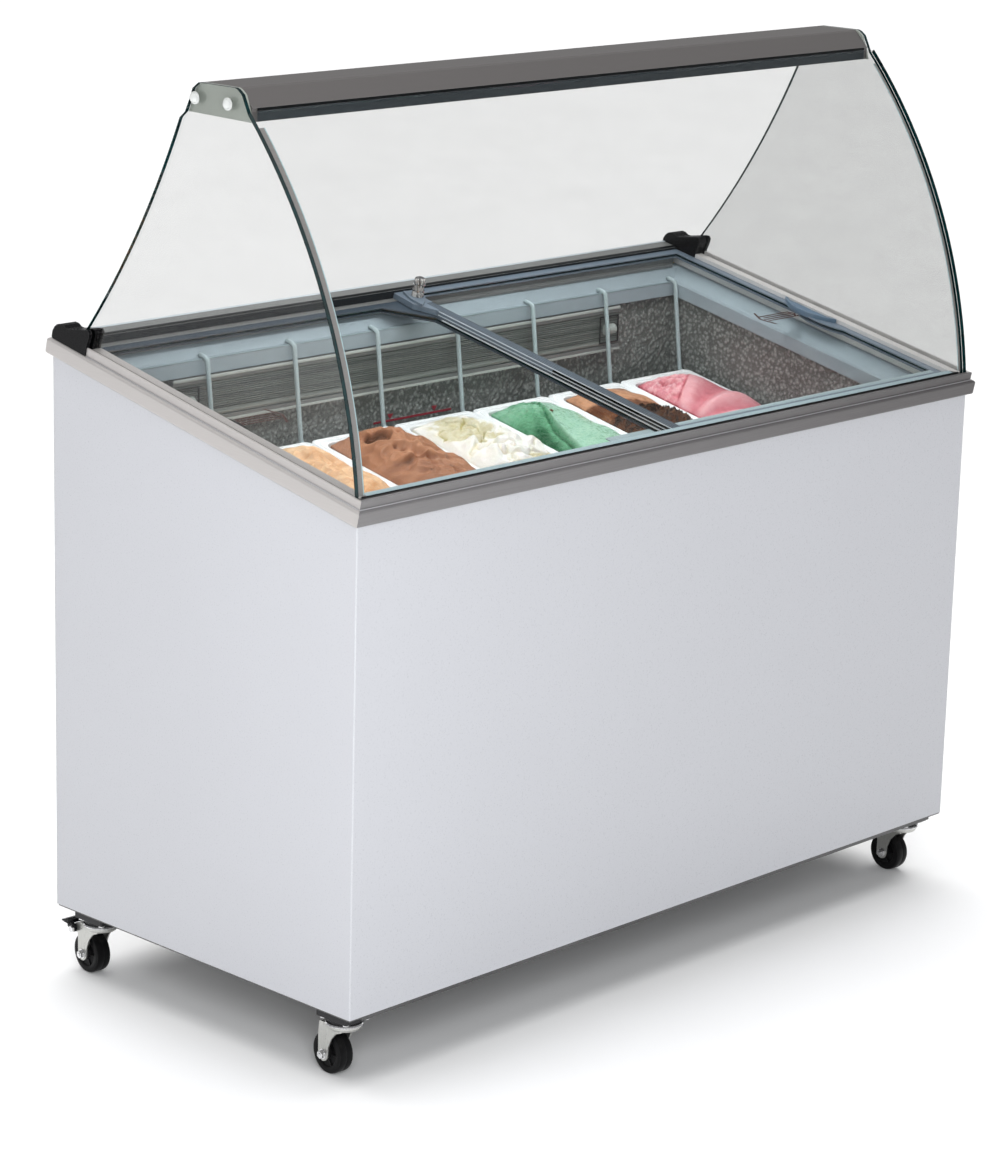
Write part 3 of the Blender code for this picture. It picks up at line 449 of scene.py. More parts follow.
def chrome(name, colour=(0.83, 0.83, 0.84, 1.0), roughness=0.07, depth=0.72, metal=1.0):
    """Plated metal with upright streaks painted in as reflections; depth is how dark the streaks are."""
    s = Shader(name)
    soft, wear_and_highlight_edges = rounded_edges(s, 0.3)
    reflection_streak = s.noise(360.0, 3.0, 0.7, (1.0, 1.0, 0.02))
    # Painted reflections: upright light and dark streaks in the colour.
    base = s.mix(s.remap(reflection_streak, 0.40, 0.60), scaled(colour, depth), colour)
    base = s.mix(s.math("MULTIPLY", wear_and_highlight_edges, 0.3), base, (1, 1, 1, 1))
    gloss = s.remap(s.noise(300.0, 3.0), 0.3, 0.7, roughness, roughness + 0.08)
    normal = s.bump(reflection_streak, 0.2, 0.01 * MM, soft)
    s.principled(Base_Color=base, Metallic=metal, Roughness=gloss, Normal=normal)


def ribbed_cover(name):
    """Milky plastic over the lamp, with painted shade that makes it greyer in the grooves between its ribs.
    """
    s = Shader(name)
    soft, wear_and_highlight_edges = rounded_edges(s, 0.3)
    lines = s.noise(420.0, 3.0, 0.7, ALONG_X)
    cloud = s.noise(9.0, 3.0, 0.6, (0.6, 1.0, 1.0))
    depth = s.remap(s.part(1), (WALL - 11.3) * MM, (WALL - 13.6) * MM)
    # Painted shade: darker toward the wall, down in the grooves between the ribs.
    colour = s.mix(depth, tint(74, 78, 76), tint(150, 154, 148))
    colour = s.mix(s.remap(lines, 0.35, 0.65, 0.0, 0.35), colour, tint(176, 180, 172))
    colour = s.mix(s.remap(cloud, 0.35, 0.7, 0.0, 0.35), colour, tint(96, 102, 100))
    colour = s.mix(s.math("MULTIPLY", wear_and_highlight_edges, 0.4), colour, tint(210, 214, 208))
    gloss = s.remap(lines, 0.3, 0.7, 0.22, 0.36)
    s.principled(Base_Color=colour, Roughness=gloss, Normal=s.bump(lines, 0.4, 0.1 * MM, soft))


def frozen(name, light, mid, deep, gloss=0.42):
    """Ice cream: three tones by the painted tone attribute, which holds painted light and shade as well as
    the flavour's own colours; icy grain where it is rough, soft light inside.
    """
    s = Shader(name)
    tone = s.add("Attribute", attribute_name="tone").outputs["Fac"]
    rough = s.add("Attribute", attribute_name="rough").outputs["Fac"]
    cloud = s.noise(70.0, 4.0, 0.6)
    shade = s.math("ADD", tone, s.remap(cloud, 0.3, 0.7, -0.12, 0.12))
    base = s.mix(s.remap(shade, 0.0, 0.5), deep, mid)
    base = s.mix(s.remap(shade, 0.5, 1.0), base, light)
    grit = s.noise(900.0, 4.0, 0.75)
    flecks = s.math("MULTIPLY", s.remap(grit, 0.55, 0.7), s.math("MULTIPLY", rough, 0.45))
    base = s.mix(flecks, base, light)
    wet = s.remap(s.noise(160.0, 3.0, 0.6), 0.3, 0.7, gloss - 0.12, gloss + 0.12)
    grain = s.math("MULTIPLY", grit, s.remap(rough, 0.0, 1.0, 0.25, 1.0))
    height = s.math("ADD", grain, s.noise(240.0, 3.0, 0.6))
    s.principled(Base_Color=base, Roughness=wet, Normal=s.bump(height, 0.45, 0.3 * MM),
                 Subsurface_Weight=0.18, Subsurface_Radius=(1.0, 0.7, 0.5), Subsurface_Scale=0.004)


def floor_look():
    s = Shader("studio_floor")
    base = s.mix(s.remap(s.noise(1.5, 3.0), 0.3, 0.7), (0.90, 0.90, 0.90, 1), (0.93, 0.93, 0.93, 1))
    grain = s.bump(s.noise(300.0, 2.0), 0.05, 0.2 * MM)
    s.principled(Base_Color=base, Roughness=0.75, Normal=grain, Emission_Color=(1, 1, 1, 1),
                 Emission_Strength=0.03)


# ---- finishes

surface("paint", tint(189, 190, 195), 0.30, grain=420, depth=0.03, blotch=1.6, spread=0.012, edge=1.2,
        wear_and_highlight=0.6, coat=0.35)
surface("rear_paint", tint(192, 193, 197), 0.36, grain=420, depth=0.03, spread=0.015, edge=0.6)
surface("tray", tint(92, 92, 92), 0.46, 0.7, grain=60, depth=0.01, spread=0.2)
surface("steel", tint(30, 30, 32), 0.42, 0.3, grain=500, spread=0.12, dust=0.15)
surface("foam", tint(226, 206, 150), 0.9, grain=260, depth=0.6, spread=0.08)
stucco_metal("stucco")
surface("collar", tint(146, 158, 164), 0.34, grain=800, blotch=4, spread=0.06, edge=1.2)
# The frame's four extrusions share one aluminium finish; these copies differ by painted light and shade: the
# front and the rear (also on the lamp housing) darkened, the right lightened.
front_metal("frame_front")
brushed("frame_side", tint(184, 180, 178), 0.34, ALONG_Y, 0.05, 0.35)
brushed("frame_rear", tint(124, 126, 125), 0.40, ALONG_X, 0.08, 0.3)
brushed("frame_right", tint(214, 212, 210), 0.34, ALONG_Y, 0.06, 0.35)
brushed("rail", tint(104, 101, 100), 0.46, ALONG_X, 0.05, 0.3)
surface("plate", tint(170, 176, 168), 0.34, 0.3, grain=900, spread=0.06, edge=0.8)
surface("black", tint(11, 11, 13), 0.26, grain=500, depth=0.03, spread=0.25, wear_and_highlight=0.05, edge=1.2, shine=0.12)
surface("lid", tint(96, 109, 121), 0.34, grain=900, spread=0.10, edge=0.8, wear_and_highlight=0.22)
# The lower lid's frame: a darker copy of the lid finish, as painted shade for the lid that sits deeper in the
# frame.
surface("lid_low_shaded", tint(52, 62, 71), 0.34, grain=900, spread=0.12, edge=0.8)
# Painted shadow: near-black for dark lines put in gaps and slots.
surface("gap_shadow", tint(9, 12, 14), 0.34, grain=900, spread=0.2, edge=0.3, wear_and_highlight=0, shine=0.08)
surface("grip", tint(84, 104, 122), 0.30, grain=900, spread=0.1, edge=0.8, wear_and_highlight=0.3)
surface("flange", tint(146, 164, 168), 0.34, grain=800, spread=0.06, edge=0.6, wear_and_highlight=0.3)
surface("lid_dark", tint(34, 40, 46), 0.40, grain=900, spread=0.2, edge=0.4)
# Painted highlight: bright metal for light lines on the lids' rails and the rear edge.
brushed("lid_highlight", tint(200, 210, 216), 0.30, ALONG_Y, 0.06, 0.25)
chrome("chrome")
chrome("lock_chrome", (0.56, 0.55, 0.53, 1.0), 0.22, 0.02, 0.15)
chrome("bright", (0.90, 0.90, 0.91, 1.0), 0.12)
ribbed_cover("cover")
surface("wire", tint(166, 180, 182), 0.36, grain=900, depth=0.03, spread=0.08, edge=0.3)
surface("pan", tint(250, 252, 253), 0.30, grain=900, depth=0.01, blotch=8, spread=0.02, wear_and_highlight=0.3)
brushed("copper", tint(196, 122, 84), 0.30, ALONG_X, 0.12, 1.0)
surface("can", tint(24, 24, 25), 0.30, grain=300, depth=0.05, spread=0.2, dust=0.3)
surface("fins", tint(48, 49, 51), 0.5, 0.4, grain=900, depth=0.04, spread=0.2, dust=0.4)
surface("fan", tint(64, 64, 66), 0.42, spread=0.12)
brushed("zinc", tint(190, 190, 186), 0.30, (1.0, 1.0, 0.05), 0.14, 0.85)
surface("rubber", tint(12, 12, 13), 0.40, grain=500, depth=0.06, spread=0.3, dust=0.05, edge=0.8, wear_and_highlight=0.03,
        shine=0.12)
surface("seal", tint(150, 146, 144), 0.36, grain=600, spread=0.08)
surface("clear_nylon", tint(206, 208, 206), 0.24, grain=600, spread=0.04, coat=0.3)
surface("red", tint(150, 30, 48), 0.5, grain=600, spread=0.12)
surface("print", tint(52, 26, 20), 0.6, grain=600, spread=0.2)
surface("tube", tint(232, 236, 232), 0.2, grain=600, spread=0.04)
# Painted shade: dark teal for the band inside the curved glass's left edge.
surface("edge_band_shade", (0.001, 0.012, 0.013, 1), 0.2, grain=600, spread=0.2, wear_and_highlight=0.02)
surface("chip", tint(96, 58, 26), 0.4, grain=500, spread=0.2)
# Painted highlight: the light lines beside the glass seams.
surface("seam_highlight", tint(190, 218, 222), 0.2, grain=600)
# Painted shade: dark colour for the rear strip's front-facing side.
surface("rear_face_shade", tint(24, 28, 31), 0.4, spread=0.12, shine=0.12)
# Painted highlight: light lines on the frame's step.
surface("step_highlight", tint(170, 169, 172), 0.3, spread=0.06)
surface("skirt", tint(50, 57, 61), 0.4, spread=0.12, shine=0.25)
# Painted shade: dark line behind the collar's edge bead.
surface("groove_shade", tint(62, 78, 92), 0.5, spread=0.1)
surface("track", tint(150, 170, 176), 0.34, spread=0.06)
surface("cover_end", tint(172, 177, 172), 0.36, spread=0.08)

GREEN = (0.0008, 0.011, 0.012, 1.0)
glass("curved_glass", (1, 0, 0), False, (0.872, 0.874, 0.872, 1), GREEN, 0.025)
glass("side_glass", (1, 0, 0), True, (0.880, 0.882, 0.880, 1), GREEN, 0.05)
glass("lid_glass", tuple(NORMAL), True, (0.968, 0.982, 0.985, 1), GREEN, 0.03)

PANES = {
    "front_glass": "curved_glass", "side_glass_left": "side_glass", "side_glass_right": "side_glass",
    "left_lid_glass": "lid_glass", "right_lid_glass": "lid_glass",
}
CASTERS = ("front_left", "front_right", "rear_left", "rear_right")
NODE_LOOKS = {
    "outer_casing": "paint", "rear_panel": "rear_paint", "rear_grille": "rear_paint", "base_tray": "tray",
    "insulation": "foam", "inner_liner": "stucco", "collar": "collar", "frame_front": "frame_front",
    "frame_left": "frame_side", "frame_right": "frame_right", "frame_rear": "frame_rear",
    "top_profile": "rail", "end_plate_left": "plate", "end_plate_right": "plate",
    "corner_bracket_left": "black", "corner_bracket_right": "black", "left_lid_frame": "lid_low_shaded",
    "right_lid_frame": "lid", "lock_barrel": "lock_chrome", "lamp_housing": "frame_rear",
    "lamp_lens": "cover", "fan_blade": "fan", "evaporator_coil": "copper", "compressor": "can",
    "condenser": "fins", "fan_shroud": "steel", "thermostat_knob": "black", "power_switch": "black", **PANES,
}
for caster in CASTERS:
    NODE_LOOKS[f"caster_mount_{caster}"] = "steel"
    NODE_LOOKS[f"caster_fork_{caster}"] = "zinc"
for caster in ("rear_left", "rear_right"):
    NODE_LOOKS[f"brake_pedal_{caster}"] = "black"

for node, look in NODE_LOOKS.items():
    materials = frame["nodes"][node].data.materials
    materials.clear()
    materials.append(LOOKS[look])
for node in PANES:
    frame["nodes"][node].visible_shadow = False  # so light still reaches the pans under two stacked lids


# ---- pans and rack


def make_pan(i):
    """A pan with a rolled rim, a groove round the opening and drafted walls."""
    rings = [
        (69.3, 158, 18, -120), (69.9, 158.7, 18.5, -117.5), (74.3, 163, 20, -5.6), (74.8, 163.6, 20, -4.8),
        (82.3, 179, 11, -4.8), (83.2, 179.9, 11.5, -4.2), (83.2, 179.9, 11.5, -1.4),
        (82.6, 179.3, 11.2, -0.4), (81.6, 178.3, 11, 0), (80, 176, 12, 0), (79.4, 175.2, 12.5, -1.8),
        (77.4, 172.4, 14, -1.8), (76.8, 171.6, 14.5, 0), (75.2, 166, 17, 0), (74.7, 165, 18, 1.1),
        (73.3, 162.4, 18, 1.1), (72.4, 161.3, 18, 0.4), (72.1, 161, 18, -1.4), (67.9, 156.7, 16, -115.5),
        (66, 154.8, 15, -118),
    ]
    outline = [[(*p, z) for p in rounded_rectangle(half_a, half_b, r)] for half_a, half_b, r, z in rings]
    made = piece(f"pan_shell_{i}", loft(outline), "pan", f"pan_{i}", pan_place(i), 50)
    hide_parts(f"pan_{i}")


def make_rack():
    """Seven coated wires that hook over the collar's ledge and pass in front of the lamp."""
    run_n = -PAN_DROP - 9.0
    skirt_back, skirt_front = BACK - 66.0, FRONT + 66.0
    drop_back, drop_front = skirt_back - 7.5, skirt_front + 7.5
    rise = math.tan(TILT)

    def hook(y):
        return y, TOP_FRONT - 14.0 + 3.6 + rise * (y - FRONT)

    low, high = node_box("pan_1")
    pitch = node_box("pan_2")[0].x - low.x
    first = (low.x + high.x) / 2 - pitch / 2
    wires = []
    for i in range(PAN_COUNT + 1):
        x = first + i * pitch
        corners = [(x, *hook(skirt_back + 8.5)), (x, *hook(drop_back)), (x, *on_slant(PAN_BACK + 14, run_n))]
        corners += [(x, *on_slant(90.0, run_n)), (x, *hook(drop_front)), (x, *hook(skirt_front - 8.5))]
        wires.append(rod(rounded_path(corners, 6.0), 3.5, 12))
    for v in (PAN_BACK - 2 * PAN_L - 4.0, PAN_BACK + 4.0):
        y, z = on_slant(v, run_n - 4.5)
        wires.append(rod([(first - 2, y, z), (first + PAN_COUNT * pitch + 2, y, z)], 2.4, 12))
    made = piece("hanging_rack", wires, "wire", smooth=60)
    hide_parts("pan_rack")


# ---- ice cream

FILL_A, FILL_B = 71.0, 159.6  # half width and half length of the filling at the pan's rim


def lump(x, y, cx, cy, rx, ry, turn=0.0):
    c, s = math.cos(math.radians(turn)), math.sin(math.radians(turn))
    a, b = (x - cx) * c + (y - cy) * s, (y - cy) * c - (x - cx) * s
    return np.exp(-((a / rx) ** 2) - (b / ry) ** 2)


def step(value, low, high):
    t = np.clip((value - low) / (high - low), 0, 1)
    return t * t * (3 - 2 * t)


def rough_field(x, y, size, seed, octaves=2):
    points = zip(x.flat, y.flat)
    values = [noise.fractal(Vector((a / size, b / size, seed)), 0.7, 2.1, octaves) for a, b in points]
    return np.array(values).reshape(x.shape)


def folds_field(x, y, size, seed):
    """Sharp creases between soft swellings."""
    return 1 - 2.2 * np.abs(rough_field(x, y, size, seed))


def crest(distance, reach):
    """A ridge that fades out on the far side of a crease."""
    return np.exp(-np.maximum(distance, 0) / reach)


# Each flavour returns its height, its tone from dark to light, and how rough it is. The tone holds the
# flavour's own colours and also painted light and shade: darker in creases, hollows and pits, lighter on
# raised parts.


def caramel(x, y, dome):
    folds = np.sin(y / 15.0 + 1.2 * np.sin(x / 40.0)) * step(x, -30, 55)
    height = 27 + 11 * folds + 6 * rough_field(x, y, 60.0, 3.1) + 9 * lump(x, y, 5, 90, 26, 50)
    height += 7.0 * folds_field(x, y, 30.0, 6.6)
    reflection_streak = rough_field(x * 0.4, y * 1.6, 14.0, 5.3)
    # Painted light and shade: the fold crests are lighter and the troughs darker; the streaks are the
    # caramel's own colour.
    return height * dome, 0.62 + 0.22 * folds + 0.3 * reflection_streak, np.full_like(x, 0.15)


def chocolate(x, y, dome):
    bank_edge = y + 0.29 * (x + 69) + 5 * np.sin(x / 9.0)
    bank = step(bank_edge, 33, 40)
    hollow = step(lump(x, y, -24, 102, 19, 22, 20), 0.35, 0.62)
    height = 29 + 5 * rough_field(x, y, 55.0, 8.2) + 8 * np.sin(y / 11.0 + 2.0) * step(x, 15, 62)
    height += 9.0 * folds_field(x, y, 34.0, 3.3) + 10.5 * bank * step(x, -64, -30)
    height = height * dome - 15 * hollow
    for size, *spot in ((7, 20, 92, 30, 24), (6, 6, 114, 26, 22), (7, 55, 90, 12, 14), (7, 52, 14, 12, 16),
                        (6, 44, -22, 12, 14), (4, -40, 6, 26, 12, -15)):
        height += size * lump(x, y, *spot)
    pits = sum(lump(x, y, *spot, 3.0, 3.0) for spot in ((6, 90), (-28, 62), (-22, 50), (-30, -20), (20, -60)))
    height += 2.0 * rough_field(x, y, 11.0, 1.4, 3) * step(-y, 30, 90) - 5 * pits
    # Painted shade: a dark line along the foot of the bank, and the hollow and the pits darker; the raised
    # bank a little lighter as painted light.
    shade = np.exp(-(((bank_edge - 33) / 5.0) ** 2)) * step(x, -66, -40) * step(-x, -10, 20)
    tone = 0.66 + 0.10 * bank - 0.62 * hollow - 0.5 * pits - 0.4 * shade + 0.2 * rough_field(x, y, 26.0, 4.4)
    return height, tone, 0.15 + 0.5 * step(-y, 40, 110)


def cream(x, y, dome):
    swirl = rough_field(x, y, 46.0, 12.5)
    small = rough_field(x, y, 24.0, 2.5)
    edge = np.abs(rough_field(x, y, 42.0, 7.7))
    height = 28 + 15 * swirl + 14 * np.abs(small) - 10 * (1 - step(edge, 0.0, 0.10))
    height += 9 * lump(x, y, -6, 118, 34, 30) + 7 * lump(x, y, 40, 20, 16, 24, 25)
    # Painted shade: darker and yellower in the low parts of the swirl and in the channels.
    yellow = step(-swirl - 0.4 * small, 0.06, 0.22) + 0.7 * (1 - step(edge, 0.0, 0.08))
    return height * dome, 0.90 - 0.60 * yellow * step(dome, 0.15, 0.5), 0.1 + 0.3 * step(small, 0, 0.3)


def mint(x, y, dome):
    crease = x + 8 - 0.42 * (y - 94) + 4 * np.sin(y / 30.0)
    right = step(crease, -2.0, 2.0)
    valley = step(-y, -112, -45)
    textured = 28 * (1 - 0.55 * valley) + 8 * rough_field(x, y, 24.0, 6.1, 3) * (1 - 0.6 * valley)
    textured += 4 * folds_field(x, y, 20.0, 4.9) * (1 - valley)
    sheet = 27 + 6.0 * np.sin(y / 12.0) * step(x, 30, 66)
    sheet += 8 * crest(crease, 9.0) + 2.0 * rough_field(x, y, 70.0, 1.9)
    # Painted shade: darker down in the valley and along the crease.
    tone = 0.62 - 0.60 * valley * step(-crease, -4, 26) + 0.15 * rough_field(x, y, 20.0, 9.3)
    tone = tone * (1 - right) + 0.92 * right - 0.5 * np.exp(-(((crease + 3.5) / 3.0) ** 2))
    return (textured * (1 - right) + sheet * right) * dome, tone, (1 - right) * (1 - valley) * 0.8


def chunky(x, y, dome):
    front = step(-y, -60, -46)
    patch = step(np.abs(y - 76 + 0.3 * (x + 50)), 27, 20)
    bits = rough_field(x, y, 7.5, 3.7, 4)
    height = 25 + 4 * rough_field(x, y, 50.0, 2.2) + 16 * np.abs(bits) * step(-y, -60, -44)
    height += 7 * np.sin(y / 12.0) * step(x, 15, 60) - 3 * patch
    tone = 0.92 - 0.55 * step(-y, -62, -46) - 0.42 * patch - 0.5 * step(bits, 0.02, 0.2) * front + 0.1 * bits
    return height * dome, tone, 0.15 + 0.85 * front


def strawberry(x, y, dome):
    crease = (x - 33 - 1.29 * (y - 139)) * 0.62 + 4 * np.sin(y / 26.0)
    left = step(-crease, -2, 2)
    coarse = rough_field(x, y, 12.0, 5.9, 4)
    hollow = step(lump(x, y, -37, 118, 13, 17, 15), 0.4, 0.65)
    waves = np.sin(11.0 * np.arctan2(y - 10, x + 118) + 0.4)
    smooth = (28 + 9.0 * waves * step(crease, -5, 35) + 9 * crest(crease, 9.0)) * dome
    rugged = (25 + 9 * coarse + 4 * folds_field(x, y, 16.0, 2.8)) * dome - 12 * hollow
    # Painted light and shade: wave crests and coarse bumps lighter; wave troughs, the hollow, the crease and
    # the edges by the pan darker.
    tone = (0.66 + 0.22 * waves) * (1 - left) + (0.60 + 0.36 * step(coarse, 0.05, 0.25) - 0.4 * hollow) * left
    tone -= 0.45 * np.exp(-(((crease + 2.0) / 2.6) ** 2)) + 0.5 * step(1 - dome, 0.80, 1.0)
    return smooth * (1 - left) + rugged * left, tone, left * 0.9


HEAP = 0.76  # share of the drawn height that is kept, so that the rims stay in sight
FLAVOURS = [
    (caramel, "caramel", (240, 204, 164), (220, 172, 128), (194, 128, 66), 0.36),
    (chocolate, "milk_chocolate", (188, 136, 104), (150, 100, 72), (74, 44, 26), 0.40),
    (cream, "vanilla", (250, 247, 242), (230, 223, 202), (188, 178, 118), 0.44),
    (mint, "mint", (166, 206, 182), (100, 160, 122), (18, 82, 46), 0.30),
    (chunky, "chocolate_chunk", (200, 148, 114), (100, 58, 32), (26, 13, 6), 0.46),
    (strawberry, "strawberry", (236, 178, 182), (212, 128, 138), (142, 32, 48), 0.40),
]


def make_ice_cream(i):
    """A heaped filling: a sculpted top over drafted sides, as one closed solid."""
    shape, label, light, mid, deep, gloss = FLAVOURS[i - 1]
    rows, columns = ((210, 100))
    t, s = np.meshgrid(np.linspace(-1, 1, rows + 1), np.linspace(-1, 1, columns + 1), indexing="ij")
    x = FILL_A * s * np.sqrt(1 - 0.13 * t**2)
    y = FILL_B * t * np.sqrt(1 - 0.10 * s**2)
    lean = np.where(s > 0, 1.7, 2.6)  # the right flank falls away sooner
    dome = (np.clip(1 - np.abs(s) ** lean, 0, 1) * np.clip(1 - np.abs(t) ** 4.0, 0, 1)) ** 0.62
    height, tone, rough = shape(x, y, dome)
    height *= HEAP
    near_edge = np.minimum(1 - np.abs(s), (1 - np.abs(t)) * 2.2)
    height = np.maximum(height, 0.6 + 5 * dome) * step(near_edge, -0.01, 0.05) + 1.2
    mesh = bmesh.new()
    top = [[mesh.verts.new(p) for p in zip(*row)] for row in zip(x, y, height)]
    for a in range(rows):
        for b in range(columns):
            mesh.faces.new((top[a][b], top[a][b + 1], top[a + 1][b + 1], top[a + 1][b]))
    rim = [top[0][b] for b in range(columns)] + [top[a][columns] for a in range(rows)]
    rim += [top[rows][b] for b in range(columns, 0, -1)] + [top[a][0] for a in range(rows, 0, -1)]
    for shrink, z in ((0.0, -2.0), (4.4, -116.0)):
        ring = []
        for vert in rim:
            keep = 1 - shrink / math.hypot(vert.co.x, vert.co.y)
            ring.append(mesh.verts.new((vert.co.x * keep, vert.co.y * keep, z)))
        for k in range(len(rim)):
            m = (k + 1) % len(rim)
            mesh.faces.new((rim[k], ring[k], ring[m], rim[m]))
        rim = ring
    mesh.faces.new(rim)
    frozen(label, tint(*light), tint(*mid), tint(*deep), gloss)
    made = piece(f"ice_cream_scoop_{i}", mesh, label, f"pan_{i}", pan_place(i), 75)
    count = len(made.data.vertices)
    for label, values in (("tone", tone), ("rough", rough)):
        painted = np.full(count, 0.5, np.float32)
        painted[: values.size] = np.clip(values, 0, 1).ravel()
        attribute = made.data.attributes.new(label, "FLOAT", "POINT")
        attribute.data.foreach_set("value", painted)
    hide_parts(f"ice_cream_{i}")


def make_chip():
    """One chocolate chip on the mint, near the back."""
    chip = block((-3.6, -2.4, -1.6), (3.6, 2.4, 1.6), 0.8)
    chip.transform(Matrix.Translation((-6.0, 86.0, 24.5)) @ Matrix.Rotation(0.5, 4, (1, 1, 2)))
    piece("mint_chip", chip, "chip", "pan_4", pan_place(4))


def make_load_line():
    """The red fill mark on the tank's back wall: a stripe with two small pointers."""
    face = WALL - 0.2
    parts = [block((-82, face - 0.5, 742.2), (84, face, 745.6))]
    for x in (-47.0, 47.0):
        parts.append(prism([(x - 6, 754), (x + 6, 754), (x, 746)], face - 0.6, face, "y"))
    piece("load_line", parts, "red")


# ---- lamp


def make_lamp():
    """The lamp tube in its channel, the ribbed cover with smooth lips, and a holder at each end."""
    low, high = node_box("lamp_housing")
    y, z = low.y + 8.2, (low.z + high.z) / 2
    length = high.x - low.x - 84
    tube = turned([(0, 0), (2.4, 0), (2.7, 0.6), (2.7, length), (0, length)], 16, "x")
    piece("lamp_tube", moved(tube, low.x + 42, y, z), "tube")
    face, foot, head = low.y + 1.4, low.z + 3.0, high.z - 3.0
    outline = [(face + 3.4, head), (face, head), (face - 0.4, head - 2.0), (face, head - 7.0)]
    ribs, top, bottom = 14, head - 8.0, foot + 14.0
    pitch = (top - bottom) / ribs
    for i in range(ribs):
        for out, share in ((2.4, 0), (2.4, 0.25), (0.4, 0.45), (0.4, 0.85)):
            outline.append((face + out, top - pitch * (i + share)))
    outline += [(face, bottom - 1.0), (face - 0.6, bottom - 3.0), (face, bottom - 6.0)]
    outline += [(face + 1.6, bottom - 7.0), (face + 1.6, foot), (face + 3.4, foot)]
    cover = prism(outline, low.x + 1, high.x - 1, "x")
    made = piece("lamp_cover_ribbed", cover, "cover", smooth=25)
    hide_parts("lamp_lens")
    lips = [block((low.x, low.y - 1.4, high.z - 4.5), (high.x, low.y - 0.1, high.z), 0.5)]
    lips.append(block((low.x, low.y - 1.4, low.z), (high.x, low.y - 0.1, low.z + 4.0), 0.5))
    piece("lamp_channel_lips", lips, "cover_end")
    for side, x in (("left", low.x + 26), ("right", high.x - 26)):
        barrel = []
        for k in range(7):
            profile = [(0, 0), (7.2, 0), (8.2, 0.8), (8.2, 1.8), (7.2, 2.6), (0, 2.6)]
            barrel.append(moved(turned(profile, 20, "x"), x - 11 + 3.2 * k, low.y - 1.0, z))
        piece(f"lamp_holder_{side}", barrel, "cover_end")
        rims = []
        for a, b, c, d in ((-22, 22, 20, 22), (-22, 22, -22, -20), (-22, -20, -20, 20), (20, 22, -20, 20)):
            rims.append(block((x + a, low.y - 1.5, z + c), (x + b, low.y - 0.2, z + d)))
        piece(f"lamp_holder_rim_{side}", rims, "steel")


# ---- lids


def slab(u0, u1, v0, v1, n0, n1, soft=0.0):
    """A block in the slanting top's own directions: across, up the slope, square to it."""
    return block((u0, v0, n0), (u1, v1, n1), soft)


def make_stile_trim():
    """Ribs, painted highlight lines, painted shadow strips and flanges on the lids' rails."""
    near, far, deck = 25.5, 512.0, 23.1
    ribs = []
    for u in (-4.9, 0.0, 4.9, 9.8):
        ribs.append(slab(u, u + 1.9, near, 515.0 if u < 0 else 545.0, deck - 0.5, deck + 0.45, 0.3))
    piece("centre_stile_ribs", ribs, "lid_dark", "right_lid", TOP_PLANE)
    # Painted highlights: bright lines on the side face of the upper lid's stile.
    highlight_strips = [slab(-7.1, -6.7, near, far, 16.6, 18.0), slab(-7.1, -6.4, near, far, 21.9, deck + 0.25)]
    piece("centre_stile_highlights", highlight_strips, "lid_highlight", "right_lid", TOP_PLANE)
    # Painted shadow: a dark strip on the side face of the upper lid's stile.
    piece("centre_stile_shadow", slab(-6.75, -6.4, near, far, 14.8, 22.3), "gap_shadow", "right_lid", TOP_PLANE)
    # Painted highlight: a bright line along the inner edge of the lower lid's stile.
    piece("lower_stile_highlight", slab(-10.6, -9.6, 50.0, 500, 12.6, 14.3), "lid_highlight", "left_lid", TOP_PLANE)
    # Painted shadow: a dark line beside it, under the upper lid's stile.
    piece("lower_stile_shadow", slab(-9.9, -6.9, 36.0, 500, 13.7, 14.05), "gap_shadow", "left_lid", TOP_PLANE)
    plate = prism([(-114, 44.9), (-26, 44.9), (-22, 48.0), (-22, 62.5), (-114, 62.5)], 11.7, 13.6)
    piece("corner_plate_left_lid", soften(plate, 0.5), "flange", "left_lid", TOP_PLANE)
    flange = slab(14.0, 610.0, 38.9, 47.5, 20.95, 23.3, 0.5)
    piece("front_rail_flange", flange, "flange", "right_lid", TOP_PLANE)


def make_grip(label, body, edge_u, side, v, top, reach, wide, tall, look):
    """A half-moon grip on a lid's outer rail; side points to the lid's middle."""
    outer, inner = [], []
    for i in range(21):
        t = -1 + i / 10
        outer.append((edge_u + side * (2.0 + wide * (1 - t * t)), v + reach * t))
        inner.append((edge_u + side * (2.0 + (wide - 5.5) * (1 - t * t)), v + (reach - 6) * t))
    wall = prism(outer + inner[::-1], top - 2.2, top + tall)
    floor = prism(inner, top - 1.9, top + tall * 0.6)
    piece(f"finger_grip_{label}", soften(joined([wall, floor]), 0.6), look, body, TOP_PLANE)


def make_arrow(label, body, edge_u, side, middle, face):
    """A printed arrow of four dashes between two chevrons, on the lid's glass."""
    arrow = []
    for k, offset in enumerate((-9.0, -3.0, 3.0, 9.0)):
        start = edge_u + side * (32 + 5 * (k % 2))
        low_u, high_u = sorted((start, start + side * 74))
        arrow.append(slab(low_u, high_u, middle + offset - 1.4, middle + offset + 1.4, face, face + 0.25))
    for tip, back, half in ((118, 106, 24), (30, 40, 10)):
        for sign in (-1, 1):
            a, b = edge_u + side * tip, edge_u + side * back
            thick, out = 4.6 * side * (1 if tip > back else -1), middle + sign * half
            outline = [(a, middle), (b, out), (b - thick, out), (a - thick, middle)]
            arrow.append(prism(outline, face, face + 0.25))
    piece(f"slide_arrow_{label}", arrow, "print", body, TOP_PLANE)


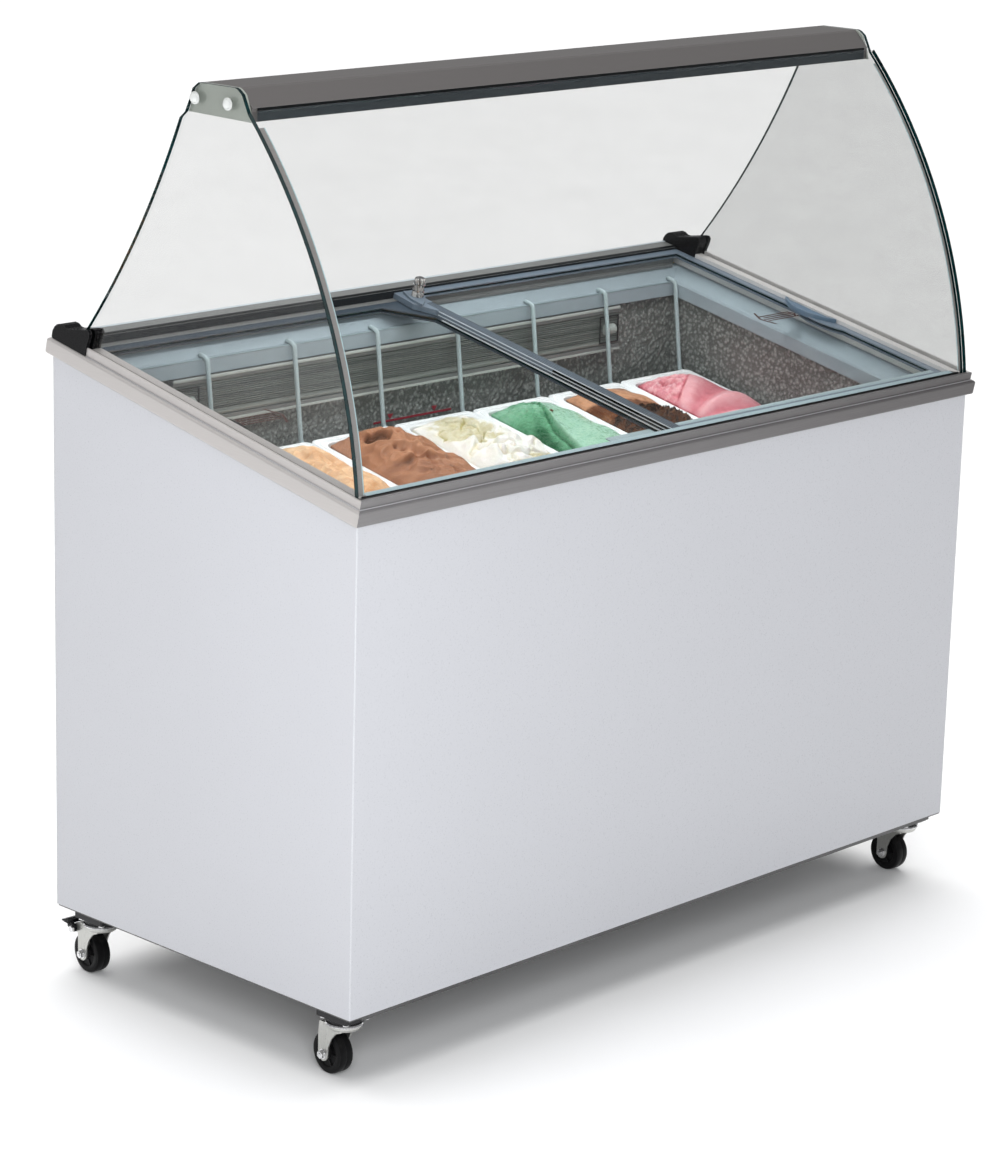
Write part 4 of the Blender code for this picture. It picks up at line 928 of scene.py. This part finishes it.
def make_lid_trim():
    make_stile_trim()
    for label, edge_u, side, v, top, reach, wide, tall, look in (
        ("left", -625.0, 1, 297.0, 13.8, 50, 29.0, 0.5, "black"),
        ("right", 625.0, -1, 303.0, 23.1, 54, 25.0, 6.5, "grip"),
    ):
        make_grip(label, f"{label}_lid", edge_u, side, v, top, reach, wide, tall, look)
        make_arrow(label, f"{label}_lid", edge_u, side, v + 7, top - 2.25)


def make_tracks():
    """Covers, painted shadow lines in the gaps and painted highlight lines along the strips that the lids
    slide between.
    """
    wide, strip_face, ledge = 25, SLANT - 28, (BACK - 66.0 - FRONT) / math.cos(TILT) - 2.9
    for name, look, inset, v0, v1, n0, n1, soft in (
        ("front_track_cover", "track", wide, 13.7, 24.1, 28.9, 29.5, 0.2),
        ("front_glazing_bead", "frame_front", 4, 1.95, 5.9, 29.6, 30.9, 0.3),
        # Painted shadow: a dark line in the gap at the front track.
        ("front_track_shadow_line", "gap_shadow", 14, 12.9, 14.3, 28.9, 29.9, 0.2),
        # Painted shadow: a dark line in the gap at the rear track.
        ("rear_track_shadow", "gap_shadow", wide, strip_face, SLANT - 20.5, 26.9, 27.4, 0.2),
        # Painted shade: a dark sheet on the front-facing side of the rear strip.
        ("rear_track_shade", "rear_face_shade", wide, strip_face - 0.25, strip_face - 0.05, 14.4, 26.6, 0),
        # Painted highlight: a bright line along the rear edge.
        ("rear_edge_highlight", "lid_highlight", 4, SLANT - 2.6, SLANT + 1.6, 26.9, 27.5, 0.2),
        ("collar_edge_bead", "flange", 68, ledge - 0.6, ledge + 1.6, -14.0, -12.6, 0.3),
        # Painted shade: a dark line just behind the collar's edge bead.
        ("collar_edge_shadow_line", "groove_shade", 66, ledge + 1.8, ledge + 3.6, -14.0, -13.3, 0),
    ):
        piece(name, slab(LEFT + inset, RIGHT - inset, v0, v1, n0, n1, soft), look, place=TOP_PLANE)
    # Painted highlights: light lines along the frame's step.
    steps = [slab(LEFT - 3, RIGHT + 3, -3.5, -1.6, 20.1, 21.1, 0.3)]
    for u in (LEFT - 3.5, RIGHT + 1.6):
        steps.append(slab(u, u + 1.9, 0, SLANT - 72, 20.1, 21.1, 0.3))
    piece("frame_step_highlights", steps, "step_highlight", place=TOP_PLANE)


def make_lock():
    """Key face and collar of the lid lock."""
    base = TOP_PLANE @ Matrix.Translation((-1.0, 566.0, 27.4))
    face = turned([(0, 28.4), (6.0, 28.4), (6.3, 28.9), (5.0, 29.6), (0, 29.6)], 32)
    piece("lock_key_face", face, "bright", "lock", base)
    piece("lock_key_slot", block((-3.6, -0.7, 29.2), (3.6, 0.7, 29.8), 0.15), "black", "lock", base)
    rings = [turned([(8.8, z), (9.6, z + 0.3), (9.6, z + 1.6), (8.8, z + 1.9)], 36) for z in (8.4, 18.6)]
    piece("lock_rings", rings, "chrome", "lock", base)


# ---- canopy


def canopy_circle():
    """Centre and radius of the curved glass's outer face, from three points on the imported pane."""
    vertices = frame["nodes"]["front_glass"].data.vertices
    points = sorted({(round(v.co.y / MM, 2), round(v.co.z / MM, 2)) for v in vertices})
    foot = min(z for _, z in points)
    outer = [min(p for p in points if p[1] < foot + 1)]
    outer += [min(p for p in points if abs(p[1] - z) < 25) for z in (1000.0, 1200.0)]
    y, z, rest = np.linalg.solve([(2 * a, 2 * b, 1) for a, b in outer], [a * a + b * b for a, b in outer])
    return y, z, math.sqrt(rest + y * y + z * z)


def make_canopy_trim():
    """Glue seams behind the curved glass with a painted dark band and painted highlight lines beside them,
    dome bolts through the end plates, and a black line painted as the shadow in the rail's slot.
    """
    y, z, radius = canopy_circle()
    low, high = node_box("front_glass")
    start = math.degrees(math.asin((low.z + 12 - z) / radius))
    end = math.degrees(math.asin((high.z - 16 - z) / radius))
    seam = arc(y, z, radius - 6.1, 180 - start, 180 - end, 40)
    seam += arc(y, z, radius - 6.6, 180 - start, 180 - end, 40)[::-1]
    # Painted shade: a dark teal band inside the left edge of the curved glass.
    piece("glass_edge_dark_band", prism(seam, low.x + 0.3, low.x + 6.2, "x"), "edge_band_shade", smooth=20)
    strips = [prism(seam, low.x + 6.4, low.x + 14.4, "x"), prism(seam, high.x - 11.0, high.x - 6.4, "x")]
    piece("glass_seams", strips, "seal", smooth=20)
    # Painted highlights: light lines beside the seams.
    lines = [prism(seam, low.x + 14.4, low.x + 16.2, "x"), prism(seam, high.x - 12.8, high.x - 11.0, "x")]
    piece("glass_seam_highlights", lines, "seam_highlight", smooth=20)
    lip = min(v.co.y for v in frame["nodes"]["top_profile"].data.vertices) / MM
    reach = node_box("top_profile")[1].x - 8
    # Painted shadow: a black line in the slot under the rail's lip.
    slot_shadow = block((-reach, lip - 0.35, 1290.9), (reach, lip + 0.3, 1294.2))
    piece("rail_slot_shadow", slot_shadow, "gap_shadow")
    skirt = block((-reach, lip - 0.12, 1277.0), (reach, lip + 0.6, 1290.4))
    piece("rail_skirt", skirt, "skirt")
    dome = [(0, 6.6), (2.6, 6.3), (4.9, 5.2), (6.2, 3.4), (6.5, 1.6), (8.4, 1.4), (8.6, 0.0), (0, 0)]
    nut = [(0, 0), (5.6, 0), (5.6, 4.2), (4.8, 5.0), (2.4, 5.0), (2.4, 6.4), (0, 6.4)]
    for side, x, out in (("left", low.x, -1), ("right", high.x, 1)):
        for name, profile, count, away, turn, look, smooth in (
            ("bolts", dome, 28, 0.05, out, "clear_nylon", 50),
            ("nuts", nut, 6, -9.4, -out, "bright", 30),
        ):
            parts = []
            for along, up in ((318.6, 1298.3), (254.5, 1296.8)):
                part = turned(profile, count)
                part.transform(Matrix.Rotation(turn * math.pi / 2, 4, "Y"))
                parts.append(moved(part, x + out * away, FRONT + along, up))
            piece(f"canopy_{name}_{side}", parts, look, smooth=smooth)


# ---- casters


def make_caster(label):
    """Wheel with a moulded hub, axle nuts and the bright bearing race."""
    roll, turn = JOINTS[f"roll_{label}"], JOINTS[f"swivel_{label}"]
    axis = Vector(roll["axis"])
    heading = Matrix.Rotation(math.atan2(axis.y, axis.x), 4, "Z")
    spin = Matrix.Translation(Vector(roll["pos_m"]) / MM) @ heading
    tyre = [(4.6, 13.6), (8.6, 13.6), (9.2, 13.0), (9.4, 10.4), (11.5, 9.6), (18.5, 9.8), (19.6, 11.4)]
    tyre += [(20.6, 12.0), (26.6, 11.9), (28.6, 11.2), (29.6, 9.6), (30.0, 7.0), (30.0, 0.8), (29.7, 0.0)]
    tyre += [(a, -b) for a, b in tyre[::-1] if b]
    tyre = turned(tyre, 56, "x")
    made = piece(f"caster_wheel_{label}", tyre, "rubber", f"wheel_{label}", spin, 35)
    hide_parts(f"wheel_{label}")
    spokes = []
    for side in (-1, 1):
        for k in range(6):
            rib = block((side * 10.6 - 1.0, 9.0, -0.9), (side * 10.6 + 1.0, 19.2, 0.9))
            rib.transform(Matrix.Rotation(math.tau * k / 6, 4, "X"))
            spokes.append(rib)
    piece(f"caster_hub_ribs_{label}", spokes, "rubber", f"wheel_{label}", spin)
    nut = [(0, 19.2), (5.9, 19.2), (6.1, 19.8), (6.1, 23.6), (5.2, 24.4), (3.0, 24.4), (2.8, 25.4), (0, 25.4)]
    washers = both_ways([(0, 18.3), (7.2, 18.3), (7.2, 19.3), (0, 19.3)], 28)
    piece(f"caster_axle_nuts_{label}", washers + both_ways(nut, 6), "bright", f"fork_{label}", spin, 30)
    x, y, _ = Vector(turn["pos_m"]) / MM
    race = turned([(24.5, 78.0), (26.2, 78.4), (27.0, 80.2), (26.2, 82.2), (24.5, 82.6)], 48)
    piece(f"caster_race_{label}", moved(race, x, y, 0), "chrome")
    bolts = []
    for a, b in ((-19, -22), (-19, 22), (19, -22), (19, 22)):
        bolt = turned([(0, 84.6), (4.4, 84.6), (4.8, 85.2), (4.8, 88.2), (0, 88.2)], 6)
        bolts.append(moved(bolt, x + a, y + b, 0))
    piece(f"caster_bolts_{label}", bolts, "bright", smooth=30)
    if f"brake_{label}" in JOINTS:
        place = Matrix.Translation(Vector(JOINTS[f"brake_{label}"]["pos_m"]) / MM) @ heading
        caps = both_ways([(0, 24.6), (5.2, 24.6), (5.4, 25.2), (5.4, 27.6), (4.4, 28.4), (0, 28.4)], 6)
        piece(f"brake_nuts_{label}", caps, "bright", f"brake_{label}", place, 30)
        treads = []
        for y, z in ((12.5, 9.6), (15.9, 8.7), (19.3, 7.8)):
            treads.append(block((-22, y, z), (22, y + 1.5, z + 1.3)))
        piece(f"brake_treads_{label}", treads, "black", f"brake_{label}", place)


# ---- back


def screw(x, y, z):
    """A pan-head screw on a face that looks along +Y."""
    return moved(turned([(0, 2.2), (2.0, 2.0), (3.4, 1.3), (4.0, 0.0), (0, 0)], 20, "y"), x, y, z)


def make_back():
    low, high = node_box("rear_grille")
    face = high.y
    screws = [screw(x, face, z) for x in (low.x + 9, high.x - 9) for z in (low.z + 9, high.z - 9)]
    piece("grille_screws", screws, "bright")
    ends, middle = (LEFT + 14, RIGHT - 14), ((LEFT + RIGHT) / 2, (PANEL_LOW.z + PANEL_HIGH.z) / 2)
    edge = [screw(x, BACK, z) for x in (*ends, middle[0]) for z in (PANEL_LOW.z + 16, PANEL_HIGH.z - 34)]
    edge += [screw(x, BACK, middle[1]) for x in ends]
    piece("panel_screws", edge, "bright")
    knob = Vector(JOINTS["thermostat_turn"]["pos_m"]) / MM
    marks = []
    for k in range(10):
        size = 1.6 if k % 3 == 0 else 1.0
        mark = block((-size / 2, 0, 20.0), (size / 2, 0.35, 24.5))
        mark.transform(Matrix.Rotation(math.radians(-135 + 30 * k), 4, "Y"))
        marks.append(moved(mark, knob.x, face, knob.z))
    piece("thermostat_scale", marks, "black")
    low, high = node_box("power_switch")
    cx, cz = (low.x + high.x) / 2, (low.z + high.z) / 2
    rings = []
    for half_a, half_b, radius, out in (
        (18.5, 14.0, 3, 0), (18.5, 14.0, 3, 1.4), (17.8, 13.3, 2.6, 2.0), (15.6, 11.2, 1.2, 2.0),
        (15.4, 11.0, 1.0, 0),
    ):
        rings.append([(cx + a, face + out, cz + b) for a, b in rounded_rectangle(half_a, half_b, radius)])
    piece("switch_bezel", loft(rings, closed_loop=True), "black")
    x = LEFT + 350
    gland = turned([(0, 0), (9, 0), (9, 3), (7.5, 4), (7.5, 9), (0, 9)], 24, "y")
    piece("cord_gland", moved(gland, x, BACK, 150), "black")
    bends = ((8, 150), (40, 150), (70, 118), (190, 118), (230, 150), (230, 330), (190, 360), (130, 360),
             (100, 330), (100, 190))
    path = [(x + along, BACK + 7, z) for along, z in bends]
    piece("power_cord", rod(rounded_path(path, 14.0, 6), 3.6, 12), "rubber", smooth=60)


# ---- stage


def make_floor():
    floor_look()
    mesh = bmesh.new()
    size = 60.0
    mesh.faces.new([mesh.verts.new((x * size, y * size, 0)) for x, y in ((-1, -1), (1, -1), (1, 1), (-1, 1))])
    data = bpy.data.meshes.new("floor")
    mesh.to_mesh(data)
    mesh.free()
    data.materials.append(LOOKS["studio_floor"])
    floor = bpy.data.objects.new("floor", data)
    bpy.context.scene.collection.objects.link(floor)


def make_world():
    world = bpy.data.worlds.new("studio")
    bpy.context.scene.world = world
    world.use_nodes = True
    tree = world.node_tree
    tree.nodes.clear()
    kinds = ("TexCoord", "SeparateXYZ", "ValToRGB", "Background", "OutputWorld")
    place, parts, ramp, sky, out = [tree.nodes.new("ShaderNode" + kind) for kind in kinds]
    tree.links.new(place.outputs["Generated"], parts.inputs[0])
    tree.links.new(parts.outputs["Z"], ramp.inputs[0])
    tree.links.new(ramp.outputs[0], sky.inputs["Color"])
    tree.links.new(sky.outputs[0], out.inputs[0])
    low, high = ramp.color_ramp.elements
    low.position, low.color = 0.0, (0.80, 0.81, 0.83, 1)
    high.position, high.color = 0.9, (1.0, 1.0, 1.0, 1)
    sky.inputs["Strength"].default_value = 0.36


def place_light(data, ahead, spot=(0, 0, 0)):
    light = bpy.data.objects.new(data.name, data)
    light.location = spot
    light.rotation_mode = "QUATERNION"
    light.rotation_quaternion = Vector(ahead).to_track_quat("-Z", "Y")
    light.visible_glossy = False
    bpy.context.scene.collection.objects.link(light)
    return light


def make_light(name, spot, aim, size, power, colour=(1, 1, 1)):
    data = bpy.data.lights.new(name, "AREA")
    data.shape = "RECTANGLE"
    data.size, data.size_y = size
    data.energy = power
    data.color = colour
    place_light(data, Vector(aim) - Vector(spot), spot).visible_camera = False


def make_sun():
    data = bpy.data.lights.new("overhead", "SUN")
    data.energy = 2.8
    data.angle = math.radians(68)
    place_light(data, (-0.18, -0.22, -1.0))


def make_camera():
    data = bpy.data.cameras.new("camera")
    data.sensor_width = 36.0
    data.lens = 109.78
    data.clip_end = 200.0
    camera = bpy.data.objects.new("camera", data)
    yaw, pitch, roll = math.radians(46.4988), math.radians(-14.813), math.radians(1.5068)
    ahead = Vector((math.sin(yaw) * math.cos(pitch), math.cos(yaw) * math.cos(pitch), math.sin(pitch)))
    level = ahead.cross(Vector((0, 0, 1))).normalized()
    upright = level.cross(ahead)
    side = level * math.cos(roll) + upright * math.sin(roll)
    up = upright * math.cos(roll) - level * math.sin(roll)
    turn = Matrix((side, up, -ahead)).transposed().to_4x4()
    camera.matrix_world = Matrix.Translation((-3.6841, -3.4393, 1.8763)) @ turn
    bpy.context.scene.collection.objects.link(camera)
    bpy.context.scene.camera = camera


for number in range(1, PAN_COUNT + 1):
    make_pan(number)
    make_ice_cream(number)
make_chip()
make_rack()
make_load_line()
make_lamp()
make_lid_trim()
make_tracks()
make_lock()
make_canopy_trim()
for caster in CASTERS:
    make_caster(caster)
make_back()
make_floor()
make_world()
make_sun()
make_light("front_bank", (-2.3, -2.2, 1.5), (-0.4, -0.3, 0.6), (1.2, 1.6), 52, (0.96, 0.98, 1.0))
make_light("left_bank", (-3.4, 0.9, 1.9), (-0.65, 0, 0.6), (1.6, 1.6), 8.5, (1.0, 0.985, 0.97))
make_light("canopy_glow", (0.0, -0.02, 1.262), (0.0, 0.0, 0.8), (1.15, 0.10), 5.0)
make_camera()
bpy.context.scene.view_settings.view_transform = "Standard"
